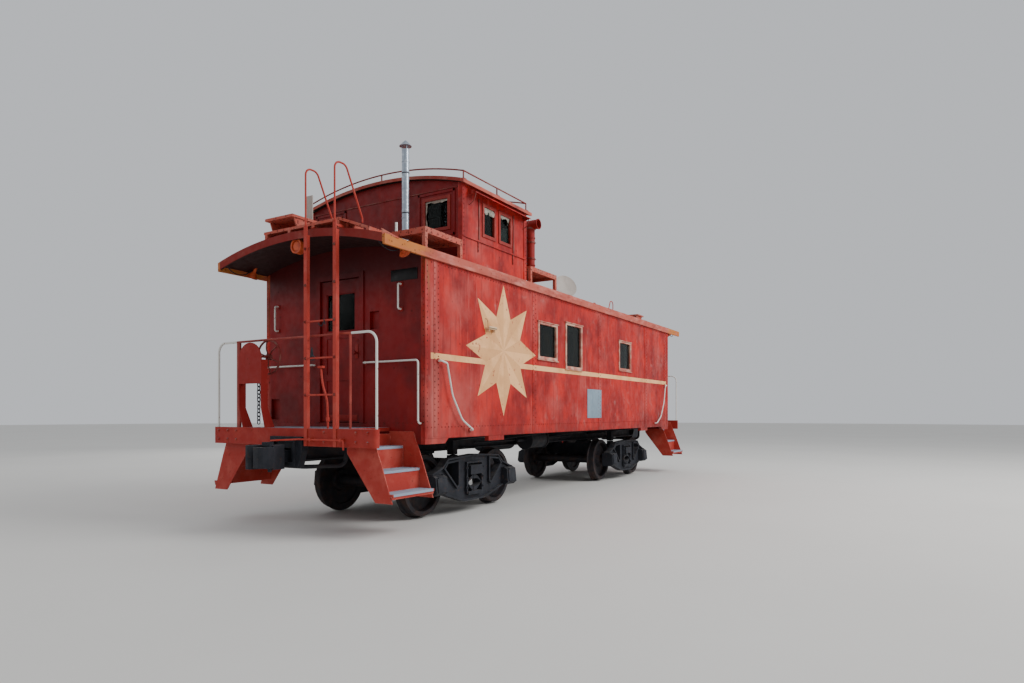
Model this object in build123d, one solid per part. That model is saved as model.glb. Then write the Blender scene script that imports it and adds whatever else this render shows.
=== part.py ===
from build123d import *
import os
from math import cos, radians, sin, sqrt

# Railway caboose: steel body, off-centre cupola, two end platforms and two four-wheel trucks.
# Millimetres. X runs along the car, Y across it and Z up. The wheel flanges stand on Z = 0.
# The origin is on the floor under the middle of the car.
# "Rear" is the -X end, the one near the cupola, and "right" is -Y.
# Each end piece is drawn at the rear and turned half round for the front.

# Car body
BODY_LENGTH = 9144.0
BODY_WIDTH = 2844.0
WALL = 65.0
SIDE_BOTTOM_DROP = 135.0
SKIRT_DEPTH = 65.0
EAVE_HEIGHT = 3405.0
EAVE_OVERHANG = 38.0
ROOF_RISE = 215.0
ROOF_THICKNESS = 60.0
ROOF_OVERHANG = 760.0
FASCIA_DEPTH = 95.0
EAVE_BAND_DEPTH = 115.0
EAVE_BAND_THICKNESS = 32.0
FASCIA_THICKNESS = 30.0

# Floor and platforms
PLATFORM_LENGTH = 860.0
PLATFORM_TOP = 1235.0
PLATFORM_THICKNESS = 45.0
FLOOR_STEP = 55.0
STAIR_WIDTH = 562.0

# Underframe
CENTRE_SILL_WIDTH = 330.0
CENTRE_SILL_DEPTH = 355.0
SILL_PLATE = 22.0
SILL_FLANGE = 70.0
SIDE_SILL_WIDTH = 70.0
SIDE_SILL_DEPTH = 90.0
END_SILL_THICKNESS = 70.0
END_SILL_DEPTH = 210.0
END_SILL_INSET = 12.0
END_SILL_CORNER = 50.0
NOTCH_HALF_WIDTH = 290.0
NOTCH_DEPTH = 110.0
# Cross members: half length along the car, depth at the centre sill, depth at the side sill
BOLSTER_MEMBER = (190.0, 240.0, 110.0)
BEARER_MEMBER = (60.0, 250.0, 90.0)
END_MEMBER = (50.0, 120.0, 90.0)
BEARER_X = 1000.0

# Cupola
CUPOLA_REAR = 800.0
CUPOLA_LENGTH = 1660.0
CUPOLA_INSET = 22.0
CUPOLA_HEIGHT = 1050.0
CUPOLA_RISE = 210.0
CUPOLA_WALL = 60.0
CUPOLA_ROOF_THICKNESS = 45.0
CUPOLA_ROOF_OVERHANG = 70.0
CUPOLA_SILL_HEIGHT = 335.0
CUPOLA_POST = 62.0
CUPOLA_POST_PROUD = 9.0
CUPOLA_SEAT_CLEARANCE = 10.0

# Windows
FRAME_WIDTH = 42.0
FRAME_PROUD = 14.0
FRAME_DEPTH = 40.0
GLASS_THICKNESS = 8.0
GLASS_SETBACK = 20.0
# Side windows: start from the rear end of the body, width, bottom, top
SIDE_WINDOWS = (
    (2800.0, 650.0, 2265.0, 2855.0),
    (3750.0, 650.0, 2165.0, 2945.0),
    (6100.0, 650.0, 2265.0, 2855.0),
)
# Cupola side windows: start from the cupola's rear, width, bottom and top above the eaves
CUPOLA_SIDE_WINDOWS = ((465.0, 340.0, 420.0, 880.0), (883.0, 356.0, 420.0, 880.0))
# Cupola end windows: inner edge from the middle, width, bottom and top above the eaves
CUPOLA_END_WINDOW = (750.0, 460.0, 440.0, 900.0)

# End doors
DOOR_CENTRE = -8.0
DOOR_WIDTH = 690.0
DOOR_HEIGHT = 1855.0
DOOR_THICKNESS = 45.0
DOOR_GAP = 10.0
DOOR_SETBACK = 12.0
DOOR_STILE = 90.0
DOOR_PANEL_DEPTH = 10.0
CASING_WIDTH = 70.0
CASING_PROUD = 18.0
# Door window and panels: bottom and top above the cabin floor
DOOR_WINDOW = (1195.0, 1695.0)
DOOR_PANELS = ((110.0, 550.0), (630.0, 1105.0))
KNOB_HEIGHT = 900.0
KNOB_RADIUS = 26.0
KNOB_STEM = 10.0
HINGE_RADIUS = 10.0
HINGE_PIN_RADIUS = 5.0
HINGE_CLEARANCE = 0.3
HINGE_STANDOFF = 2.0
HINGE_LENGTH = 100.0
HINGE_LEAF = 48.0
HINGE_LEAF_THICKNESS = 4.0
HINGE_HEIGHTS = (190.0, 940.0, 1690.0)
# Recesses in the end walls: low and high across, low and high above the cabin floor
END_RECESSES = ((-690.0, -530.0, 1185.0, 1415.0), (1160.0, 1330.0, 35.0, 320.0))
RECESS_DEPTH = 45.0
# Skirts below each half of a side wall: start and end at the bottom, start and end at the top
SKIRTS = ((0.0, 400.0, 0.0, 470.0), (1400.0, 1800.0, 1400.0, 1800.0))

# Roof fittings
WALK_RISE = 75.0
WALK_THICKNESS = 32.0
WALK_BOARD = 125.0
WALK_BOARD_GAP = 14.0
WALK_END_SETBACK = 30.0
WALK_Y = (-740.0, 580.0)
WALK_BEARERS = (-710.0, -300.0, 120.0, 540.0)
WING_REACH = 460.0
WING_DROP = 170.0
RAISED_STEP = (60.0, 560.0)
RAISED_STEP_LENGTH = 400.0
RAISED_STEP_HEIGHT = 165.0
CENTRE_PLANK = 130.0
CENTRE_PLANK_PITCH = 150.0
CENTRE_WALK_HALF = 215.0
BEARER_SPACING = 1200.0
# Boards beside the cupola: length of the rear and front ones, gap to the cupola, edge past the wall
SIDE_WALK_LENGTHS = (770.0, 860.0)
SIDE_WALK_GAP = 65.0
SIDE_WALK_OUT = 28.0
SIDE_WALK_IN = 500.0
SIDE_WALK_RISE = 250.0
SIDE_WALK_FASCIA = 72.0
STOVEPIPE_FROM_END = 400.0
STOVEPIPE_Y = -780.0
STOVEPIPE_RADIUS = 47.0
STOVEPIPE_HEIGHT = 1345.0
PIPE_WALL = 4.0
VENT_RADIUS = 17.0
VENT_HEIGHT = 235.0
VENT_OFFSET = 180.0
JACK_FROM_CUPOLA = 470.0
JACK_INSET = 202.0
JACK_RADIUS = 68.0
JACK_HEIGHT = 780.0
JACK_CROSS_HALF = 150.0
JACK_CROSS_RADIUS = 74.0
DISH_FROM_END = 5572.0
DISH_Y = -500.0
DISH_LIFT = 285.0
DISH_RADIUS = 235.0
DISH_CURVE = 620.0
DISH_SHEET = 7.0
VISOR_HEIGHT = 985.0
VISOR_REACH = 120.0
VISOR_DROP = 60.0
VISOR_THICKNESS = 12.0
VISOR_START = 130.0
CUPOLA_RAIL_LIFT = 115.0
CUPOLA_RAIL_RADIUS = 10.0
CUPOLA_RAIL_INSET = 60.0
LAMP_FROM_END = 300.0
# Eave lamp in section: radius and distance down, both as shares of the mouth's radius
LAMP_PROFILE = (
    (0.0, 0.0), (0.25, 0.0), (0.3, 0.9), (0.55, 1.3), (1.0, 2.1), (0.92, 2.12), (0.45, 1.4), (0.2, 1.25),
    (0.3, 1.5), (0.33, 1.7), (0.2, 1.85), (0.0, 1.85),
)
LAMP_TILT = 35.0
LAMP_MOUTH = 72.0
DRUM_RADIUS = 92.0
DRUM_DEPTH = 80.0

# Ends: railings, ladders, brake stands, steps and grab rails
RAIL_SETBACK = 60.0
RAIL_HEIGHT = 1090.0
RAIL_RADIUS = 14.0
RAIL_POST_Y = 980.0
RAIL_BEND = 130.0
LOOP_INSET = 44.0
POST_WIDTH = 62.0
POST_THICKNESS = 16.0
LADDER_STANDOFF = 6.0
# Ladder stiles: place across the car, width, depth of the flange behind
LADDER_STILES = ((-800.0, 50.0, 45.0), (-326.0, 55.0, 40.0))
LADDER_RUNGS = (390.0, 820.0, 1250.0)
STILE_THICKNESS = 12.0
RUNG_RADIUS = 11.0
HOOP_HEIGHT = 685.0
HOOP_REACH = 175.0
HOOP_BEND = 85.0
HOOP_FOOT = 50.0
STAND_Y = (395.0, 825.0)
STAND_STANDOFF = 60.0
STAND_PLATE = 12.0
STAND_LEG = 14.0
# Leg of the brake stand: front and back edge behind the stand's face, height above the platform
STAND_LEG_SECTIONS = ((0.0, 100.0, 840.0), (0.0, 100.0, 545.0), (5.0, 100.0, 245.0), (60.0, 205.0, 0.0))
BRAKE_WHEEL_HEIGHT = 895.0
BRAKE_WHEEL_SETBACK = 230.0
BRAKE_WHEEL_RADIUS = 215.0
BRAKE_WHEEL_RIM = 13.0
STAIR_LENGTH = 740.0
STAIR_PLATE = 12.0
TREAD_THICKNESS = 30.0
TREAD_RISER = 12.0
# Treads: depth of the top below the platform, front edge and back edge out from the deck
TREADS = ((720.0, 700.0, 470.0), (480.0, 490.0, 215.0), (220.0, 230.0, 12.0))
# Side plate of the steps: place out from the deck, depth below the platform
STAIR_OUTLINE = (
    (8.0, 45.0), (8.0, 285.0), (440.0, 830.0), (688.0, 830.0), (525.0, 385.0), (430.0, 155.0), (390.0, 45.0),
)
GRAB_RADIUS = 12.0
GRAB_STANDOFF = 62.0

# Couplers and what hangs at the end sills
COUPLER_HEIGHT = 901.0
SHANK_HALF_WIDTH = 65.0
SHANK_HALF_HEIGHT = 70.0
HEAD_HALF_HEIGHT = 140.0
KNUCKLE_HALF_HEIGHT = 120.0
CASTING_CORNER = 14.0
# Coupler head and knuckle in plan: reach from the end sill, place across
COUPLER_HEAD = (
    (95.0, -65.0), (165.0, -150.0), (335.0, -170.0), (345.0, -60.0), (290.0, -35.0), (290.0, 55.0),
    (330.0, 80.0), (425.0, 105.0), (455.0, 135.0), (445.0, 190.0), (380.0, 205.0), (190.0, 165.0),
    (95.0, 65.0),
)
COUPLER_KNUCKLE = (
    (300.0, -165.0), (400.0, -172.0), (455.0, -130.0), (470.0, -60.0), (468.0, 25.0), (425.0, 48.0),
    (392.0, 12.0), (385.0, -45.0), (300.0, -60.0),
)
LEVER_DROP = 130.0
LEVER_RADIUS = 11.0
LEVER_STANDOFF = 42.0
TRAIN_PIPE_RADIUS = 26.0

# Trucks, with heights measured from the axles
TRUCK_FROM_END = 1620.0
WHEELBASE = 1778.0
WHEEL_RADIUS = 419.0
FLANGE_HEIGHT = 25.0
WHEEL_BACK = 680.0
FLANGE_WIDTH = 32.0
WHEEL_WIDTH = 140.0
RIM_DEPTH = 70.0
HUB_RADIUS = 145.0
HUB_PROUD = 8.0
AXLE_RADIUS = 82.0
JOURNAL_RADIUS = 68.0
JOURNAL_CENTRE = 985.0
JOURNAL_HALF = 80.0
JOURNAL_CLEARANCE = 0.3
JOURNAL_END_GAP = 18.0
FRAME_RIM = 120.0
FRAME_WEB = 45.0
FRAME_RIM_WIDTH = 24.0
WINDOW_HALF = 175.0
WINDOW_TOP = 256.0
SPRING_SEAT_DROP = 144.0
SPRING_TOP_RISE = 101.0
SPRING_HALF_LENGTH = 163.0
SPRING_WIDTH = 100.0
SPRING_EYE = 11.0
SPRING_BAND_HALF = 26.0
SPRING_SEAT_HALF = 70.0
LEAF_COUNT = 5
LEAF_THICKNESS = 10.0
LEAF_STEP = 26.0
LEAF_CAMBER = 60.0
BOLSTER_HALF_WIDTH = 150.0
BOLSTER_RISE = 301.0
CENTRE_PLATE_RADIUS = 165.0
CENTRE_PLATE_HEIGHT = 40.0
CENTRE_PLATE_GAP = 0.5
BOWL_FLOOR_RISE = 14.5
BOWL_CLEARANCE = 8.0
BOWL_WALL = 22.0
BOWL_LIP = 25.0
SIDE_BEARING_Y = 640.0
SIDE_BEARING_HEIGHT = 55.0
SIDE_BEARING_GAP = 8.0
# Journal box: distance outwards from the middle of the journal, height from the axle
JOURNAL_BOX = ((-92.0, -125.0), (95.0, -125.0), (150.0, -85.0), (128.0, 118.0), (85.0, 140.0), (-92.0, 140.0))
JOURNAL_BOX_HALF = 128.0

# Furniture and brake gear
LOCKER_INSET = 17.0
LOCKER_DEPTH = 780.0
LOCKER_HEIGHT = 1590.0
SEAT_HEIGHT = 450.0
SEAT_DEPTH = 430.0
SEAT_BACK = 520.0
BUNK_FROM_END = 4700.0
BUNK_LENGTH = 2000.0
BUNK_DEPTH = 740.0
BUNK_HEIGHT = 400.0
STOVE_RADIUS = 190.0
STOVE_Y = -1000.0
STOVE_HEIGHT = 750.0
STOVE_PIPE_RADIUS = 60.0
TANK_RADIUS = 180.0
TANK_Y = 520.0
TANK_X = (-480.0, 520.0)
CYLINDER_RADIUS = 150.0
CYLINDER_Y = -420.0
CYLINDER_X = (-420.0, 150.0)

# Worked out from the sizes above
HALF_LENGTH = BODY_LENGTH / 2
HALF_WIDTH = BODY_WIDTH / 2
INNER_HALF = HALF_WIDTH - WALL
EAVE_HALF_WIDTH = HALF_WIDTH + EAVE_OVERHANG
ROOF_CROWN = EAVE_HEIGHT + ROOF_RISE
ROOF_END = HALF_LENGTH + ROOF_OVERHANG
PLATFORM_END = HALF_LENGTH + PLATFORM_LENGTH
FRAME_DECK = PLATFORM_TOP - PLATFORM_THICKNESS
CABIN_FLOOR_TOP = PLATFORM_TOP + FLOOR_STEP
SIDE_BOTTOM = PLATFORM_TOP - SIDE_BOTTOM_DROP
SKIRT_BOTTOM = SIDE_BOTTOM - SKIRT_DEPTH
HALF_SILL = CENTRE_SILL_WIDTH / 2
SILL_BOTTOM = FRAME_DECK - CENTRE_SILL_DEPTH
STAIR_INNER = HALF_WIDTH - STAIR_WIDTH
END_SILL_HALF = HALF_WIDTH - END_SILL_INSET
DOORWAY_Y = (DOOR_CENTRE - DOOR_WIDTH / 2 - DOOR_GAP, DOOR_CENTRE + DOOR_WIDTH / 2 + DOOR_GAP)
DOORWAY_TOP = CABIN_FLOOR_TOP + DOOR_HEIGHT + 2 * DOOR_GAP
DOOR_X = (-HALF_LENGTH + DOOR_SETBACK, -HALF_LENGTH + DOOR_SETBACK + DOOR_THICKNESS)
HINGE_X = -HALF_LENGTH + WALL + HINGE_RADIUS + HINGE_STANDOFF
HINGE_Y = DOORWAY_Y[1]
CUPOLA_X0 = CUPOLA_REAR - HALF_LENGTH
CUPOLA_X1 = CUPOLA_X0 + CUPOLA_LENGTH
CUPOLA_HALF_WIDTH = HALF_WIDTH - CUPOLA_INSET
CUPOLA_EAVE = EAVE_HEIGHT + CUPOLA_HEIGHT
CUPOLA_CROWN = CUPOLA_EAVE + CUPOLA_RISE
CUPOLA_EAVE_HALF = CUPOLA_HALF_WIDTH + CUPOLA_ROOF_OVERHANG
WALK_TOP = ROOF_CROWN + WALK_RISE
TRUCK_X = HALF_LENGTH - TRUCK_FROM_END
HALF_BASE = WHEELBASE / 2
AXLE_HEIGHT = WHEEL_RADIUS + FLANGE_HEIGHT
SPRING_SEAT = AXLE_HEIGHT - SPRING_SEAT_DROP
SPRING_TOP = AXLE_HEIGHT + SPRING_TOP_RISE
BOLSTER_TOP = AXLE_HEIGHT + BOLSTER_RISE
BOWL_FLOOR = BOLSTER_TOP + BOWL_FLOOR_RISE
CENTRE_PLATE_BOTTOM = BOWL_FLOOR + CENTRE_PLATE_GAP
JACK_X = CUPOLA_X1 + JACK_FROM_CUPOLA
JACK_Y = JACK_INSET - HALF_WIDTH
LADDER_X = -PLATFORM_END - LADDER_STANDOFF
RAIL_X = -PLATFORM_END + RAIL_SETBACK
STAND_FRONT = -PLATFORM_END - STAND_STANDOFF


def arc_radius(half_width, rise):
    """Radius of the arch that rises this much over this half width."""
    return (half_width**2 + rise**2) / (2 * rise)


ROOF_RADIUS = arc_radius(EAVE_HALF_WIDTH, ROOF_RISE)
ROOF_AXIS = ROOF_CROWN - ROOF_RADIUS
CUPOLA_RADIUS = arc_radius(CUPOLA_EAVE_HALF, CUPOLA_RISE)
CUPOLA_AXIS = CUPOLA_CROWN - CUPOLA_RADIUS


def roof_height(y):
    """Height of the main roof's top face over a place across the car."""
    return ROOF_AXIS + sqrt(ROOF_RADIUS**2 - y**2)


def ceiling_height(y):
    """Height of the main roof's under face over a place across the car."""
    return ROOF_AXIS + sqrt((ROOF_RADIUS - ROOF_THICKNESS) ** 2 - y**2)


def cupola_height(y):
    """Height of the cupola roof's top face over a place across the car."""
    return CUPOLA_AXIS + sqrt(CUPOLA_RADIUS**2 - y**2)


def from_rear(distance):
    """Place along the car of a distance from the rear end of the body."""
    return distance - HALF_LENGTH


def block(x, y, z):
    """Box between the low and high values of x, y and z."""
    size = (x[1] - x[0], y[1] - y[0], z[1] - z[0])
    middle = ((x[0] + x[1]) / 2, (y[0] + y[1]) / 2, (z[0] + z[1]) / 2)
    return Pos(*middle) * Box(*size)


def face_xz(outline, y):
    """Flat face at y from (x, z) points."""
    return make_face(Polyline(*[(x, y, z) for x, z in outline], close=True))


def along_x(outline, x):
    """Closed outline of (y, z) points as a prism between two places along the car."""
    face = make_face(Polyline(*[(x[0], y, z) for y, z in outline], close=True))
    return extrude(face, amount=x[1] - x[0], dir=(1, 0, 0))


def along_y(outline, y):
    """Closed outline of (x, z) points as a prism between two places across the car."""
    return extrude(face_xz(outline, y[0]), amount=y[1] - y[0], dir=(0, 1, 0))


def rod(start, end, radius):
    """Straight round bar between two points."""
    line = Line(start, end)
    return sweep(Plane(origin=line @ 0, z_dir=line % 0) * Circle(radius), line)


def bent_bar(points, radius, bend):
    """Round bar along straight runs joined by bends of the given radius or radii."""
    path = FilletPolyline(*points, radius=bend)
    return sweep(Plane(origin=path @ 0, z_dir=path % 0) * Circle(radius), path)


def mirrored(shape):
    """The same shape on the other side of the car."""
    return shape.mirror(Plane.XZ)


def turned(shape):
    """The same shape at the other end of the car, turned half round."""
    return Rot(0, 0, 180) * shape


def group(*shapes):
    """Separate solids of one node."""
    return Compound([solid for shape in shapes for solid in shape.solids()])


def arch_sheet(half_width, radius, axis, thickness, x):
    """Arched sheet along the car: outer arc, inner arc and two upright edges."""
    inner = radius - thickness
    outer_edge = axis + sqrt(radius**2 - half_width**2)
    inner_edge = axis + sqrt(inner**2 - half_width**2)
    x0 = x[0]
    top = ThreePointArc((x0, -half_width, outer_edge), (x0, 0, axis + radius), (x0, half_width, outer_edge))
    low = ThreePointArc((x0, half_width, inner_edge), (x0, 0, axis + inner), (x0, -half_width, inner_edge))
    right = Line((x0, -half_width, inner_edge), (x0, -half_width, outer_edge))
    left = Line((x0, half_width, outer_edge), (x0, half_width, inner_edge))
    return extrude(make_face([top, left, low, right]), amount=x[1] - x[0], dir=(1, 0, 0))


def under_arch(radius, axis, x):
    """Solid cylinder whose top face is the face of an arched roof."""
    return Pos((x[0] + x[1]) / 2, 0, axis) * Rot(0, 90, 0) * Cylinder(radius, x[1] - x[0])


def on_roof(shape):
    """What is left of a shape above the main roof's top face."""
    return shape - under_arch(ROOF_RADIUS, ROOF_AXIS, (-ROOF_END - ROOF_OVERHANG, ROOF_END + ROOF_OVERHANG))


def under_roof(shape):
    """What is left of a shape below the main roof's under face."""
    return shape & under_arch(ROOF_RADIUS - ROOF_THICKNESS, ROOF_AXIS, (-ROOF_END, ROOF_END))


def side_wall():
    """Right side wall with its skirts and windows, standing under the roof."""
    y = (-HALF_WIDTH, -INNER_HALF)
    wall = block((-HALF_LENGTH, HALF_LENGTH), y, (SIDE_BOTTOM, EAVE_HEIGHT))
    for low0, low1, top0, top1 in SKIRTS:
        skirt = [(low0, SKIRT_BOTTOM), (low1, SKIRT_BOTTOM), (top1, SIDE_BOTTOM), (top0, SIDE_BOTTOM)]
        outline = [(from_rear(distance), z) for distance, z in skirt]
        wall += along_y(outline, y)
        wall += along_y([(-x, z) for x, z in outline], y)
    wall = under_roof(wall)
    for start, width, bottom, top in SIDE_WINDOWS:
        x0 = from_rear(start)
        wall -= block((x0, x0 + width), y, (bottom, top))
    return wall


def hinge_leaf(shape, span, toward):
    """Adds a hinge leaf and its neck at one height; toward is +1 for the wall side, -1 for the door side."""
    root = DOOR_X[1] if toward < 0 else -HALF_LENGTH + WALL
    neck = sorted((HINGE_Y + toward * 2, HINGE_Y + toward * (HINGE_RADIUS - 1)))
    leaf = sorted((HINGE_Y + toward * 2, HINGE_Y + toward * (HINGE_LEAF + 2)))
    if toward < 0:
        leaf = sorted((DOORWAY_Y[1] - DOOR_GAP, DOORWAY_Y[1] - DOOR_GAP - HINGE_LEAF))
        neck = (leaf[1] - 6, HINGE_Y - 1)
    shape += rod((HINGE_X, HINGE_Y, span[0]), (HINGE_X, HINGE_Y, span[1]), HINGE_RADIUS)
    shape += block((root - 1, root + HINGE_LEAF_THICKNESS), leaf, span)
    return shape + block((root, HINGE_X), neck, span)


def end_wall():
    """Rear end wall between the side walls: doorway, casing, recesses and hinge knuckles."""
    x = (-HALF_LENGTH, -HALF_LENGTH + WALL)
    wall = under_roof(block(x, (-INNER_HALF, INNER_HALF), (SKIRT_BOTTOM, ROOF_CROWN)))
    face = x[0] - CASING_PROUD
    casing_y = (DOORWAY_Y[0] - CASING_WIDTH, DOORWAY_Y[1] + CASING_WIDTH)
    wall += block((face, x[0]), casing_y, (CABIN_FLOOR_TOP, DOORWAY_TOP + CASING_WIDTH))
    sill_y = (-HALF_SILL - SILL_FLANGE, HALF_SILL + SILL_FLANGE)
    wall -= block(x, sill_y, (SKIRT_BOTTOM, FRAME_DECK))
    wall -= block((face, x[1]), DOORWAY_Y, (CABIN_FLOOR_TOP, DOORWAY_TOP))
    for y0, y1, low, high in END_RECESSES:
        wall -= block((x[0], x[0] + RECESS_DEPTH), (y0, y1), (CABIN_FLOOR_TOP + low, CABIN_FLOOR_TOP + high))
    for height in HINGE_HEIGHTS:
        middle = CABIN_FLOOR_TOP + height
        outer = HINGE_LENGTH / 2
        inner = HINGE_LENGTH / 4 + HINGE_CLEARANCE
        for span in ((middle - outer, middle - inner), (middle + inner, middle + outer)):
            wall = hinge_leaf(wall, span, 1)
        wall += rod((HINGE_X, HINGE_Y, middle - outer), (HINGE_X, HINGE_Y, middle + outer), HINGE_PIN_RADIUS)
    return wall


def end_door():
    """Rear end door: two sunk panels, window hole, knob and hinge knuckles."""
    y = (DOOR_CENTRE - DOOR_WIDTH / 2, DOOR_CENTRE + DOOR_WIDTH / 2)
    leaf = block(DOOR_X, y, (CABIN_FLOOR_TOP + DOOR_GAP, CABIN_FLOOR_TOP + DOOR_GAP + DOOR_HEIGHT))
    inner_y = (y[0] + DOOR_STILE, y[1] - DOOR_STILE)
    leaf -= block(DOOR_X, inner_y, [CABIN_FLOOR_TOP + height for height in DOOR_WINDOW])
    for low, high in DOOR_PANELS:
        sunk = (DOOR_X[0], DOOR_X[0] + DOOR_PANEL_DEPTH)
        leaf -= block(sunk, inner_y, (CABIN_FLOOR_TOP + low, CABIN_FLOOR_TOP + high))
    knob_y, knob_z = y[0] + DOOR_STILE / 2, CABIN_FLOOR_TOP + KNOB_HEIGHT
    knob_x = DOOR_X[0] - 2 * KNOB_RADIUS
    knob_tip = (knob_x - KNOB_RADIUS, knob_y, knob_z)
    knob = rod(knob_tip, (knob_x + KNOB_RADIUS / 2, knob_y, knob_z), KNOB_RADIUS)
    leaf += fillet(knob.edges().filter_by(GeomType.CIRCLE), KNOB_RADIUS / 2)
    leaf += rod((knob_x, knob_y, knob_z), (DOOR_X[0] + 1, knob_y, knob_z), KNOB_STEM)
    bore = HINGE_PIN_RADIUS + HINGE_CLEARANCE
    for height in HINGE_HEIGHTS:
        middle = CABIN_FLOOR_TOP + height
        span = (middle - HINGE_LENGTH / 4, middle + HINGE_LENGTH / 4)
        leaf = hinge_leaf(leaf, span, -1)
        leaf -= rod((HINGE_X, HINGE_Y, span[0]), (HINGE_X, HINGE_Y, span[1]), bore)
    return leaf


def window_parts(span, z, outer, inward, across):
    """Frame and pane of one window hole.

    span and z bound the hole, outer is the wall's outer face and inward is +1 or -1.
    across says that the wall runs across the car.
    """
    face = sorted((outer - inward * FRAME_PROUD, outer + inward * FRAME_DEPTH))
    pane = sorted((outer + inward * GLASS_SETBACK, outer + inward * (GLASS_SETBACK + GLASS_THICKNESS)))
    inner_span = (span[0] + FRAME_WIDTH, span[1] - FRAME_WIDTH)
    inner_z = (z[0] + FRAME_WIDTH, z[1] - FRAME_WIDTH)
    if across:
        return block(face, span, z) - block(face, inner_span, inner_z), block(pane, inner_span, inner_z)
    return block(span, face, z) - block(inner_span, face, inner_z), block(inner_span, pane, inner_z)


def right_windows():
    """Frames and panes of the right half: side wall, cupola side and both cupola ends."""
    parts = []
    for start, width, bottom, top in SIDE_WINDOWS:
        x0 = from_rear(start)
        parts.append(window_parts((x0, x0 + width), (bottom, top), -HALF_WIDTH, 1, False))
    for start, width, low, high in CUPOLA_SIDE_WINDOWS:
        x0 = CUPOLA_X0 + start
        z = (EAVE_HEIGHT + low, EAVE_HEIGHT + high)
        parts.append(window_parts((x0, x0 + width), z, -CUPOLA_HALF_WIDTH, 1, False))
    start, width, low, high = CUPOLA_END_WINDOW
    z = (EAVE_HEIGHT + low, EAVE_HEIGHT + high)
    for outer, inward in ((CUPOLA_X0, 1), (CUPOLA_X1, -1)):
        parts.append(window_parts((-start - width, -start), z, outer, inward, True))
    return parts


def main_roof():
    """Arched roof with the cupola's opening, a fascia under each end and a band along each eave."""
    roof = arch_sheet(EAVE_HALF_WIDTH, ROOF_RADIUS, ROOF_AXIS, ROOF_THICKNESS, (-ROOF_END, ROOF_END))
    inner = ROOF_RADIUS - ROOF_THICKNESS
    for x in ((-ROOF_END, -ROOF_END + FASCIA_THICKNESS), (ROOF_END - FASCIA_THICKNESS, ROOF_END)):
        roof += arch_sheet(EAVE_HALF_WIDTH, inner, ROOF_AXIS, FASCIA_DEPTH - ROOF_THICKNESS, x)
    band_z = (EAVE_HEIGHT - EAVE_BAND_DEPTH, roof_height(HALF_WIDTH) - ROOF_THICKNESS / 2)
    band_y = (EAVE_HALF_WIDTH - EAVE_BAND_THICKNESS, EAVE_HALF_WIDTH)
    for y in (band_y, (-band_y[1], -band_y[0])):
        roof += block((-ROOF_END, ROOF_END), y, band_z)
    x = (CUPOLA_X0 + CUPOLA_WALL, CUPOLA_X1 - CUPOLA_WALL)
    half = CUPOLA_HALF_WIDTH - CUPOLA_WALL
    return roof - block(x, (-half, half), (EAVE_HEIGHT - ROOF_RISE, ROOF_CROWN))


def between_roofs(shape):
    """What is left of a shape above the main roof and under the cupola roof."""
    x = (CUPOLA_X0 - CUPOLA_WALL, CUPOLA_X1 + CUPOLA_WALL)
    return on_roof(shape & under_arch(CUPOLA_RADIUS - CUPOLA_ROOF_THICKNESS, CUPOLA_AXIS, x))


def cupola_side():
    """Right wall of the cupola, standing on the roof, with its corner posts and sill moulding."""
    y0 = -CUPOLA_HALF_WIDTH
    wall = block((CUPOLA_X0, CUPOLA_X1), (y0, y0 + CUPOLA_WALL), (EAVE_HEIGHT, CUPOLA_CROWN))
    proud = CUPOLA_POST_PROUD
    for post in ((CUPOLA_X0 - proud, CUPOLA_X0 + CUPOLA_POST), (CUPOLA_X1 - CUPOLA_POST, CUPOLA_X1 + proud)):
        wall += block(post, (y0 - proud, y0), (EAVE_HEIGHT, CUPOLA_CROWN))
    for cap in ((CUPOLA_X0 - proud, CUPOLA_X0), (CUPOLA_X1, CUPOLA_X1 + proud)):
        wall += block(cap, (y0 - proud, y0 + CUPOLA_POST), (EAVE_HEIGHT, CUPOLA_CROWN))
    sill = EAVE_HEIGHT + CUPOLA_SILL_HEIGHT
    wall += block((CUPOLA_X0, CUPOLA_X1), (y0 - 2 * proud, y0), (sill - proud, sill + proud))
    wall = between_roofs(wall)
    for start, width, low, high in CUPOLA_SIDE_WINDOWS:
        x = (CUPOLA_X0 + start, CUPOLA_X0 + start + width)
        wall -= block(x, (y0 - proud, y0 + CUPOLA_WALL), (EAVE_HEIGHT + low, EAVE_HEIGHT + high))
    return wall


def cupola_end(x):
    """End wall of the cupola between its side walls."""
    half = CUPOLA_HALF_WIDTH - CUPOLA_WALL
    wall = between_roofs(block(x, (-half, half), (EAVE_HEIGHT, CUPOLA_CROWN)))
    start, width, low, high = CUPOLA_END_WINDOW
    z = (EAVE_HEIGHT + low, EAVE_HEIGHT + high)
    for y in ((start, start + width), (-start - width, -start)):
        wall -= block(x, y, z)
    return wall


def cupola_roof():
    """Arched roof of the cupola."""
    x = (CUPOLA_X0 - CUPOLA_ROOF_OVERHANG, CUPOLA_X1 + CUPOLA_ROOF_OVERHANG)
    return arch_sheet(CUPOLA_EAVE_HALF, CUPOLA_RADIUS, CUPOLA_AXIS, CUPOLA_ROOF_THICKNESS, x)


def visor():
    """Sloping visor over the right cupola windows, with a bracket at each end."""
    y0 = -CUPOLA_HALF_WIDTH - CUPOLA_POST_PROUD
    top = EAVE_HEIGHT + VISOR_HEIGHT
    tip = (y0 - VISOR_REACH, top - VISOR_DROP)
    x = (CUPOLA_X0 + VISOR_START, CUPOLA_X1)
    root = y0 + CUPOLA_POST_PROUD
    lower = [(tip[0], tip[1] - VISOR_THICKNESS), (root, top - VISOR_THICKNESS)]
    sheet = along_x([(root, top), tip] + lower, (x[0], x[1] - CUPOLA_POST))
    for place in (x[0], x[1] - CUPOLA_POST - VISOR_THICKNESS):
        bracket = [(root, top), tip, (root, tip[1] - VISOR_DROP / 2)]
        sheet += along_x(bracket, (place, place + VISOR_THICKNESS))
    return sheet


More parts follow.
